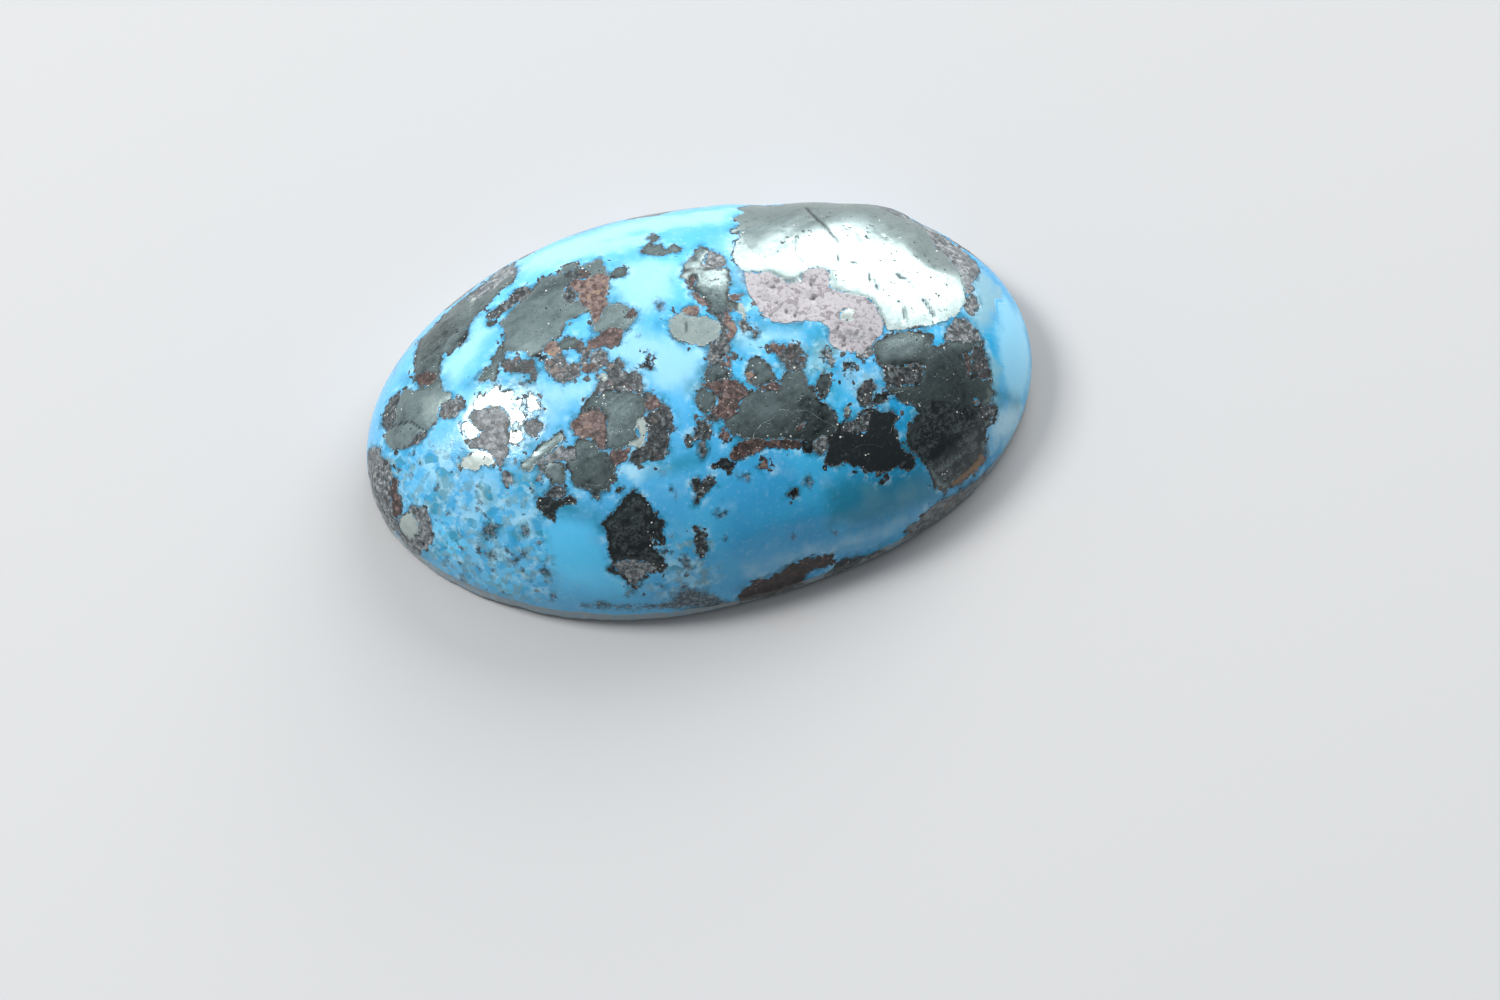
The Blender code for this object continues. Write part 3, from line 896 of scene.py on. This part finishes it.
def marking_fields(mesh, tree, eye):
    """Distance of every vertex from the edge of every kind of marking, negative inside, and the tones."""
    points = positions(mesh)
    on_back = points[:, 2] < FLAT
    shift = np.stack([grain(points, EDGE_GRAIN, seeds) for seeds in ((0, 2, 4), (1, 3, 5))], axis=1)
    flat = np.where(on_back[:, None], points[:, :2], chart(points)) + shift
    fields = {kind: np.full(len(points), REACH) for kind in HARD_KINDS + SOFT_KINDS}
    tones = {kind: np.full(len(points), FIRST_TONE) for kind in HARD_KINDS + (PALE,)}
    seen = read_markings(SEEN_MARKINGS)
    for marking in seen:
        marking[2] = pixels_to_chart(tree, eye, marking[2])
    paint(fields, tones, flat, ~on_back, seen + read_markings(FAR_SIDE_MARKINGS))
    paint(fields, tones, flat, on_back, read_markings(BACK_MARKINGS))
    return fields, tones


def crack_fields(mesh, tree, eye):
    """How deep in mm each vertex lies in a crack or a pit, and how much painted shade it gets there, as a
    share: most near the middle, and in cracks less where they are shallow.
    """
    points = positions(mesh)
    flat = chart(points) + np.stack([grain(points, CRACK_GRAIN, (seed,)) for seed in (31, 32)], axis=1)
    depth, share = np.zeros(len(points)), np.zeros(len(points))
    for half_width, deep, line in CRACKS:
        line = pixels_to_chart(tree, eye, line)
        nearest = np.min([distance_to_line(flat, a, b) for a, b in zip(line, line[1:])], axis=0)
        inside = bump(nearest / (2 * half_width))
        depth = np.maximum(depth, deep * inside)
        share = np.maximum(share, inside * min(1.0, deep / CRACK_FULL_SHADE_DEPTH))
    for middle, radius, deep in PITS:
        middle = pixels_to_chart(tree, eye, (middle,))[0]
        inside = bump(np.hypot(*((flat - middle) / PIT_STRETCH).T) / radius)
        depth, share = np.maximum(depth, deep * inside), np.maximum(share, inside)
    return depth, share


def inside_share(distance, width):
    """0 outside a marking's edge and 1 inside, over a band of this width in mm."""
    share = np.clip(0.5 - distance / width, 0, 1)
    return share * share * (3 - 2 * share)


def ground_share(points):
    """1 on the ground rim and the back, 0 on the polished dome."""
    height = rim_height(np.arctan2(points[:, 1], points[:, 0]))
    return inside_share(points[:, 2] - height - grain(points, RIM_GRAIN, (41, 42)), RIM_BLEND)


def relief(points, fields, ground, crack_depth):
    """How far in mm each vertex lies below the polished dome."""
    crumbs = 0.5 + 0.5 * lattice_noise(points, 0.8, 21)
    grit = 0.5 + 0.5 * lattice_noise(points, 0.32, 22)
    grey = inside_share(fields[GREY], CRUMBLY_BLEND) * (GREY_WEAR + GREY_CRUMBS * crumbs * grit)
    rust = inside_share(fields[RUST], CRUMBLY_BLEND) * (RUST_WEAR + RUST_CRUMBS * crumbs * grit)
    pyrite = -PYRITE_STANDS * inside_share(fields[PYRITE], PYRITE_BLEND)
    groove = GROOVE_DEPTH * bump(fields[PYRITE] / GROOVE_REACH)
    polish = SKIN_DEPTH + grain(points, SKIN_WAVES, (23, 24))
    pores = PORE_DEPTH * np.clip(lattice_noise(points, 0.45, 25) - PORE_FROM, 0, 1) / (1 - PORE_FROM)
    rough = GROUND_ROUGH * (crumbs + grit) * ground
    return np.maximum(0, polish + grey + rust + pyrite + groove + pores + crack_depth + rough)


def lower_surface(mesh, depth):
    """Moves every vertex inwards along its normal; the back stays flat."""
    points = positions(mesh)
    normals = np.empty(len(points) * 3)
    mesh.vertices.foreach_get("normal", normals)
    move = np.where(points[:, 2] < FLAT, 0.0, depth)
    points -= normals.reshape(-1, 3) * move[:, None]
    points[:, 2] = np.maximum(points[:, 2], 0)
    mesh.vertices.foreach_set("co", (points * MM).ravel())
    mesh.update()


def store(mesh, name, values):
    attribute = mesh.attributes.new(name, "FLOAT", "POINT")
    attribute.data.foreach_set("value", np.asarray(values, dtype=np.float32))


# The stone's material, and short ways to add nodes to it


stone_look = bpy.data.materials.new("turquoise_and_pyrite")
stone_look.use_nodes = True
NODES, LINKS = stone_look.node_tree.nodes, stone_look.node_tree.links


def feed(socket, value):
    if isinstance(value, bpy.types.NodeSocket):
        LINKS.new(value, socket)
    elif isinstance(value, tuple) and len(value) == 3 and socket.type == "RGBA":
        socket.default_value = (*value, 1)
    else:
        socket.default_value = value


def add(kind, inputs=None, **settings):
    node = NODES.new(kind)
    for name, value in settings.items():
        setattr(node, name, value)
    for key, value in (inputs or {}).items():
        feed(node.inputs[key], value)
    return node


def calc(operation, *values):
    return add("ShaderNodeMath", dict(enumerate(values)), operation=operation).outputs[0]


def vector(operation, *values):
    return add("ShaderNodeVectorMath", dict(enumerate(values)), operation=operation).outputs


def fold(operation, *values):
    """Joins the values two at a time, from the first to the last."""
    return functools.reduce(functools.partial(calc, operation), values)


total, product = functools.partial(fold, "ADD"), functools.partial(fold, "MULTIPLY")
least, most = functools.partial(fold, "MINIMUM"), functools.partial(fold, "MAXIMUM")


def rest_of(share):
    return calc("SUBTRACT", 1.0, share)


def spread(value, amount):
    """Turns a value between 0 and 1 into one this wide about 0."""
    return calc("MULTIPLY_ADD", value, amount, -amount / 2)


def ramp(value, low, high, to_low=0.0, to_high=1.0):
    inputs = {"Value": value, "From Min": low, "From Max": high, "To Min": to_low, "To Max": to_high}
    return add("ShaderNodeMapRange", inputs, interpolation_type="SMOOTHSTEP").outputs["Result"]


def mix(share, first, second):
    """From the first colour to the second."""
    return add("ShaderNodeMix", {0: share, 6: first, 7: second}, data_type="RGBA").outputs[2]


def blend(share, first, second):
    """From the first number to the second."""
    return add("ShaderNodeMix", {0: share, 2: first, 3: second}, data_type="FLOAT").outputs[0]


def layered(colour, layers):
    """Lays each of the layers, a share and a colour, over the ones before it."""
    for share, layer in layers:
        colour = mix(share, colour, layer)
    return colour


def field(name):
    return add("ShaderNodeAttribute", attribute_name=name).outputs["Fac"]


def noise(place, scale, detail=3.0, roughness=0.55):
    inputs = {"Vector": place, "Scale": scale, "Detail": detail, "Roughness": roughness}
    return add("ShaderNodeTexNoise", inputs).outputs["Fac"]


def bent(place, scale, amount):
    """The place, pushed about in mm by noise."""
    push = add("ShaderNodeTexNoise", {"Vector": place, "Scale": scale, "Detail": 3.0}).outputs["Color"]
    return vector("MULTIPLY_ADD", push, (amount,) * 3, place)[0]


def cells(place, scale):
    """Irregular cells: three random values of each, and the distance from its middle."""
    node = add("ShaderNodeTexVoronoi", {"Vector": place, "Scale": scale})
    red, green, blue = add("ShaderNodeSeparateColor", {0: node.outputs["Color"]}).outputs
    return SimpleNamespace(red=red, green=green, blue=blue, far=node.outputs["Distance"])


def tilted_facets(place, scale):
    """Heights of cells that each lean their own way."""
    node = add("ShaderNodeTexVoronoi", {"Vector": place, "Scale": scale})
    local = vector("SUBTRACT", place, node.outputs["Position"])[0]
    lean = vector("SUBTRACT", node.outputs["Color"], (0.5,) * 3)[0]
    return vector("DOT_PRODUCT", local, lean)["Value"]


def rings(place, middle, density):
    """A coordinate that grows outwards from a far middle, for the arcs that a wheel leaves."""
    far = vector("DISTANCE", place, middle)["Value"]
    return add("ShaderNodeCombineXYZ", {0: product(far, density)}).outputs[0]


def tone_ramp(value, stops):
    node = add("ShaderNodeValToRGB", {0: value})
    elements = node.color_ramp.elements
    while len(elements) < len(stops):
        elements.new(0.5)
    for element, (place, colour) in zip(elements, stops):
        element.position = place
        element.color = (*colour, 1)
    return node.outputs["Color"]


# The parts of the look


def shared_patterns():
    """The place in mm, and the patterns that several parts of the look share."""
    look = SimpleNamespace()
    object_place = add("ShaderNodeTexCoord").outputs["Object"]
    look.place = add("ShaderNodeVectorMath", {0: object_place, 3: 1 / MM}, operation="SCALE").outputs[0]
    look.cloud = noise(look.place, 0.9, 4.0)
    look.grain = noise(look.place, 4.0, 4.0)
    look.dust = noise(look.place, 11.0, 3.0, 0.6)
    look.stain = noise(look.place, 1.3, 4.0, 0.6)
    look.crumbs = noise(look.place, 4.4, 4.0, 0.68)
    look.arcs = noise(rings(look.place, WHEEL_MIDDLE, WHEEL_ARCS), 1.0, 3.0, 0.7)
    pushed = bent(look.place, 1.6, 0.30)
    look.blocks, look.chips = cells(pushed, 3.4), cells(pushed, 8.5)
    look.ragged = total(
        spread(look.blocks.red, 0.11), spread(look.chips.red, 0.09), spread(look.grain, 0.26),
        spread(look.dust, 0.12),
    )
    return look


def hard_mask(look, distance):
    """1 inside a marking with a ragged, crisp edge."""
    return ramp(total(distance, look.ragged), -0.04, 0.05, 1.0, 0.0)


def soft_mask(look, kind, strength, wander):
    """A marking whose edge fades and wanders."""
    edge = total(field(kind), spread(look.cloud, wander), spread(look.grain, 0.5))
    return ramp(edge, -0.7, 0.6, strength, 0.0)


def add_masks(look):
    """Where each kind shows, with crumbs and thin seams of dark matrix round what grew in the turquoise."""
    seam = total(
        field(PYRITE), ramp(noise(look.place, 0.8, 3.0), 0.44, 0.64, 0.08, -0.10),
        ramp(field("pyrite_tone"), 0.7, 0.9, 0.0, 0.3),
    )
    look.grown = least(field(PYRITE), field(GREY), field(RUST))
    thrown = product(calc("POWER", look.blocks.green, 6.0), ramp(look.cloud, 0.42, 0.64, 0.08, 0.7))
    look.pyrite = hard_mask(look, field(PYRITE))
    look.grey = hard_mask(look, least(field(GREY), seam, calc("SUBTRACT", look.grown, thrown)))
    look.rust = hard_mask(look, field(RUST))
    look.matrix = most(look.pyrite, look.grey, look.rust)
    look.crumbly = product(most(look.grey, look.rust), rest_of(look.pyrite))
    look.ground = field("ground")
    look.peppered = ramp(total(field(PEPPER), spread(look.cloud, 1.6)), -0.7, 0.5, 1.0, 0.0)


def turquoise_colour(look):
    """Deep to light blue, with pale and greener mottling, and stained beside what grew in it. Paler towards
    the back and the left, partly painted light, and brighter in low-toned pale markings, painted light.
    """
    tone = field("pale_tone")
    # Pale markings of low tone are painted light: a brighter blue, and laid on more strongly
    painted_light_share = most(calc("COMPARE", tone, PAINTED_LIGHT_TONE, 0.1), ramp(tone, 0.0, 0.1, 0.45, 0.0))
    pale = mix(ramp(tone, 0.6, 0.75), TURQUOISE_PALE, CREAM)
    pale_share = product(soft_mask(look, PALE, 1.0, 2.2), ramp(tone, 0.1, 0.4, 0.85, 0.50))
    near = ramp(look.grown, 0.05, 0.7, 1.0, 0.0)
    halo = ramp(total(look.grown, spread(look.cloud, 0.8), look.ragged), -0.05, 0.26, 0.75, 0.0)
    broad = ramp(noise(look.place, 0.22, 2.0), 0.38, 0.62)
    return layered(mix(broad, TURQUOISE_MID, TURQUOISE_DEEP), (
        # Partly the stone's own paler blue, partly painted light: paler towards the back and the left
        (field("light"), TURQUOISE_LIGHT),
        (ramp(look.cloud, 0.50, 0.72, 0.0, 0.40), TURQUOISE_LIGHT),
        (ramp(look.grain, 0.56, 0.74, 0.0, 0.22), TURQUOISE_PALE),
        (pale_share, mix(painted_light_share, pale, TURQUOISE_PAINTED_LIGHT)),
        (soft_mask(look, TEAL, 0.70, 1.0), TURQUOISE_TEAL),
        (product(near, ramp(look.stain, 0.50, 0.66, 0.0, 0.7)), TURQUOISE_TEAL),
        (product(near, ramp(look.stain, 0.34, 0.48, 0.6, 0.0)), TURQUOISE_PALE),
        (halo, STAINED_BLUE),
    ))


def peppered_colour(look, turquoise):
    """The peppered part: teal and blue grains in a pale web."""
    web = cells(bent(look.place, 1.1, 0.7), 1.5)
    small = cells(bent(look.place, 1.6, 0.5), 2.6)
    patchy = ramp(noise(look.place, 0.7, 3.0), 0.36, 0.56)
    pale_web = product(ramp(web.far, 0.36, 0.66, 0.0, 0.55), ramp(look.stain, 0.42, 0.60))
    return layered(turquoise, (
        (product(look.peppered, ramp(web.red, 0.55, 0.75, 0.0, 0.75), patchy), TURQUOISE_TEAL),
        (product(look.peppered, ramp(small.red, 0.60, 0.70, 0.0, 0.55)), TURQUOISE_DEEP),
        (product(look.peppered, ramp(small.green, 0.66, 0.76, 0.0, 0.60)), GREYED_BLUE),
        (product(look.peppered, pale_web, ramp(look.grain, 0.35, 0.6)), TURQUOISE_PALE),
    ))


def smoky_colour(look, turquoise):
    """Specks under the surface: dark or pale grains, with soft blue-grey edges."""
    depth = total(field(SMOKE), spread(look.grain, 0.7), spread(look.dust, 0.25))
    scattered = product(look.peppered, ramp(noise(look.place, 1.5, 4.0, 0.62), 0.57, 0.68, 0.0, 0.9))
    speck = mix(ramp(noise(look.place, 4.5, 4.0, 0.7), 0.46, 0.66), SMOKE_DARK, SMOKE_LIGHT)
    return mix(most(ramp(depth, -0.28, 0.14, 0.95, 0.0), scattered), turquoise, speck)


def matrix_colours(look):
    """Crumbly matrix: grey to lilac, and red-brown."""
    tone = field("grey_tone")
    uneven = total(
        spread(look.blocks.blue, 0.34), spread(look.chips.blue, 0.20),
        ramp(look.crumbs, 0.36, 0.64, -0.12, 0.12),
    )
    coarse = product(ramp(look.crumbs, 0.36, 0.66, -0.14, 0.18), ramp(tone, 0.5, 0.8, 1.0, 0.0))
    look.grey_tone = blend(ramp(field(GREY), 0.0, 0.12), tone, SEAM_TONE)
    grey = tone_ramp(total(look.grey_tone, uneven, coarse), GREY_TONES)
    grey = mix(ramp(look.grey_tone, 0.79, 0.87), grey, mix(ramp(look.crumbs, 0.30, 0.52), DARK_LILAC, LILAC))
    blotches = ramp(noise(look.place, 2.6, 4.0, 0.7), 0.36, 0.64, -0.20, 0.14)
    rust = tone_ramp(total(field("rust_tone"), total(uneven, blotches)), RUST_TONES)
    stained = ramp(total(look.blocks.red, product(look.cloud, 0.6)), 1.12, 1.16)
    return mix(product(stained, 0.45), grey, rust), rust


def pyrite_colour(look):
    """Metallic, grained, scratched by the wheel, browner along its border, with small dark pits."""
    tone = field("pyrite_tone")
    fleck = noise(look.place, 6.0, 3.0, 0.75)
    murk = ramp(noise(look.place, 1.5, 4.0, 0.65), 0.50, 0.68)
    border = ramp(total(field(PYRITE), spread(look.cloud, 0.7), spread(fleck, 0.3)), -0.22, 0.06)
    look.border = product(border, ramp(tone, 0.42, 0.56, 1.0, 0.0))
    look.pocked = ramp(noise(look.place, 3.4, 3.0, 0.6), 0.64, 0.69)
    shade = total(
        tone, ramp(fleck, 0.34, 0.66, -0.09, 0.09), spread(look.dust, 0.18), spread(look.arcs, 0.36),
        spread(look.cloud, 0.30), product(look.border, -0.20), product(murk, -0.16),
    )
    return layered(tone_ramp(shade, PYRITE_TONES), (
        (product(look.border, ramp(fleck, 0.42, 0.58), 0.6), DARK_BROWN),
        (look.pocked, PYRITE_TONES[0][1]),
    ))


def sparkles(look):
    """Painted glints: single grains painted near white as if they flashed in the light, in the pyrite and in
    the darker grey.
    """
    glints = cells(bent(look.place, 5.0, 0.10), 7.0)
    crowd = ramp(total(noise(look.place, 0.7, 3.0), product(look.border, 0.14)), 0.42, 0.66, 0.3, 1.0)
    lucky = calc("GREATER_THAN", product(glints.red, crowd), LUCKY_GRAIN)
    size = calc("MULTIPLY_ADD", glints.blue, -0.35, glints.far)
    dull = most(product(look.rust, 0.6), ramp(look.grey_tone, 0.5, 0.75))
    painted_light_share = most(look.pyrite, product(look.grey, rest_of(dull), 0.7))
    return product(product(lucky, ramp(size, -0.02, 0.12, 1.0, 0.0)), painted_light_share)


def stone_colour(look):
    turquoise = smoky_colour(look, peppered_colour(look, turquoise_colour(look)))
    grey, rust = matrix_colours(look)
    pyrite = pyrite_colour(look)
    # Painted glints: grains painted near white as if they flashed
    look.sparkle = sparkles(look)
    sawn = product(look.ground, ramp(look.grain, 0.35, 0.60, 0.62, 0.92), blend(look.matrix, 1.0, 0.40))
    return layered(turquoise, (
        (look.grey, grey),
        (product(look.rust, 0.94), rust),
        (look.pyrite, pyrite),
        # Painted glints
        (look.sparkle, PAINTED_GLINT_COLOUR),
        # Painted shade in cracks and pits
        (ramp(field("crack_shade"), 0.20, 0.90, 0.0, 0.92), CRACK_SHADE_COLOUR),
        (sawn, SAWN_COLOUR),
    ))


def metal_share(look):
    """Less metallic where the pyrite is very bright or very dark, ground, pocked or near its border."""
    tone = field("pyrite_tone")
    return product(
        look.pyrite, ramp(tone, 0.55, 1.0, 0.95, 0.35), ramp(tone, 0.0, 0.22, 0.35, 1.0),
        ramp(look.ground, 0.0, 1.0, 1.0, 0.4), blend(look.sparkle, 1.0, 0.3), blend(look.pocked, 1.0, 0.4),
        blend(look.border, 1.0, 0.6),
    )


def stone_roughness(look):
    polished = ramp(look.cloud, 0.3, 0.7, 0.17, 0.27)
    crumbly = ramp(look.crumbs, 0.3, 0.7, 0.30, 0.60)
    metal = total(
        ramp(field("pyrite_tone"), 0.2, 0.6, 0.19, 0.31), spread(look.cloud, 0.10), spread(look.arcs, 0.10)
    )
    rough = blend(look.pyrite, blend(look.crumbly, polished, crumbly), metal)
    return blend(look.ground, rough, SAWN_ROUGHNESS)


def fine_grain(look):
    """Grain too fine for the mesh, in mm."""
    tilt = tilted_facets(bent(look.place, 0.5, 0.8), 0.55)
    pitting = noise(look.place, 2.4, 4.0, 0.7)
    return total(
        product(look.crumbly, look.crumbs, 0.05), product(look.pyrite, look.dust, 0.0004),
        product(look.pyrite, look.arcs, 0.0008), product(look.ground, look.grain, 0.05),
        product(look.matrix, 0.006), product(look.pyrite, look.pocked, -0.012),
        product(look.blocks.green, look.crumbly, 0.03), product(look.pyrite, tilt, 0.03),
        product(look.peppered, ramp(look.pyrite, 0.0, 1.0, 1.0, 0.0), pitting, 0.05),
    )


def finish_stone_look():
    look = shared_patterns()
    add_masks(look)
    shader = NODES["Principled BSDF"]
    feed(shader.inputs["Base Color"], stone_colour(look))
    feed(shader.inputs["Metallic"], metal_share(look))
    feed(shader.inputs["Roughness"], stone_roughness(look))
    bumps = add("ShaderNodeBump", {"Height": fine_grain(look), "Distance": MM, "Strength": BUMP_STRENGTH})
    feed(shader.inputs["Normal"], bumps.outputs["Normal"])
    shader.inputs["Specular IOR Level"].default_value = SPECULAR_LEVEL


# Floor, lights and view


def plain_material(name, colour, roughness):
    material = bpy.data.materials.new(name)
    material.use_nodes = True
    shader = material.node_tree.nodes["Principled BSDF"]
    shader.inputs["Base Color"].default_value = (*colour, 1)
    shader.inputs["Roughness"].default_value = roughness
    return material


def add_floor():
    mesh = bpy.data.meshes.new("floor")
    work = bmesh.new()
    bmesh.ops.create_grid(work, x_segments=1, y_segments=1, size=FLOOR_REACH)
    work.to_mesh(mesh)
    work.free()
    mesh.materials.append(plain_material("pale_floor", FLOOR_COLOUR, FLOOR_ROUGHNESS))
    floor = bpy.data.objects.new("floor", mesh)
    bpy.context.scene.collection.objects.link(floor)


def add_softbox(name, azimuth, elevation, size, power):
    """A rectangular light that looks at the stone from this direction."""
    azimuth, elevation = math.radians(azimuth), math.radians(elevation)
    outward = Vector((
        math.cos(azimuth) * math.cos(elevation),
        math.sin(azimuth) * math.cos(elevation),
        math.sin(elevation),
    ))
    data = bpy.data.lights.new(name, "AREA")
    data.shape, data.energy = "RECTANGLE", power
    data.size, data.size_y = size
    light = bpy.data.objects.new(name, data)
    light.location = outward * SOFTBOX_DISTANCE
    light.rotation_mode = "QUATERNION"
    light.rotation_quaternion = outward.to_track_quat("Z", "Y")
    bpy.context.scene.collection.objects.link(light)


def add_world():
    """A studio that is bright behind the stone and dim on the camera's side."""
    world = bpy.data.worlds.new("studio")
    world.use_nodes = True
    nodes, links = world.node_tree.nodes, world.node_tree.links
    direction = nodes.new("ShaderNodeTexCoord").outputs["Generated"]
    side = nodes.new("ShaderNodeVectorMath")
    side.operation = "DOT_PRODUCT"
    side.inputs[1].default_value = WORLD_SIDE
    strength = nodes.new("ShaderNodeMapRange")
    strength.interpolation_type = "SMOOTHSTEP"
    for key, value in WORLD_RAMP.items():
        strength.inputs[key].default_value = value
    links.new(direction, side.inputs[0])
    links.new(side.outputs["Value"], strength.inputs["Value"])
    links.new(strength.outputs["Result"], nodes["Background"].inputs["Strength"])
    nodes["Background"].inputs["Color"].default_value = (*WORLD_COLOUR, 1)
    bpy.context.scene.world = world


eye = add_camera()

skin = stone_mesh()
corners = [vertex.co for vertex in skin.vertices]
surface = BVHTree.FromPolygons(corners, [face.vertices for face in skin.polygons])
fields, tones = marking_fields(skin, surface, eye)
crack_depth, crack_shade_share = crack_fields(skin, surface, eye)
places = positions(skin)
ground = ground_share(places)
lower_surface(skin, relief(places, fields, ground, crack_depth))
for kind, values in fields.items():
    store(skin, kind, values)
for kind, values in tones.items():
    store(skin, kind + "_tone", values)
store(skin, "ground", ground)
# How much painted shade each vertex gets in cracks and pits
store(skin, "crack_shade", crack_shade_share)
# Partly the stone's own paler blue, partly painted light: how much paler the turquoise is towards the back
# and the left
store(skin, "light", np.clip(PALENESS_AND_PAINTED_LIGHT_MIDDLE + places[:, :2] @ PALENESS_AND_PAINTED_LIGHT_SLOPE, 0, PALENESS_AND_PAINTED_LIGHT_MOST))

finish_stone_look()
skin.materials.append(stone_look)
stone = bpy.data.objects.new("polished_stone", skin)
bpy.context.scene.collection.objects.link(stone)
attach(stone, "root")
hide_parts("stone")

add_floor()
for softbox in SOFTBOXES:
    add_softbox(*softbox)
add_world()
bpy.context.scene.view_settings.view_transform = "Standard"
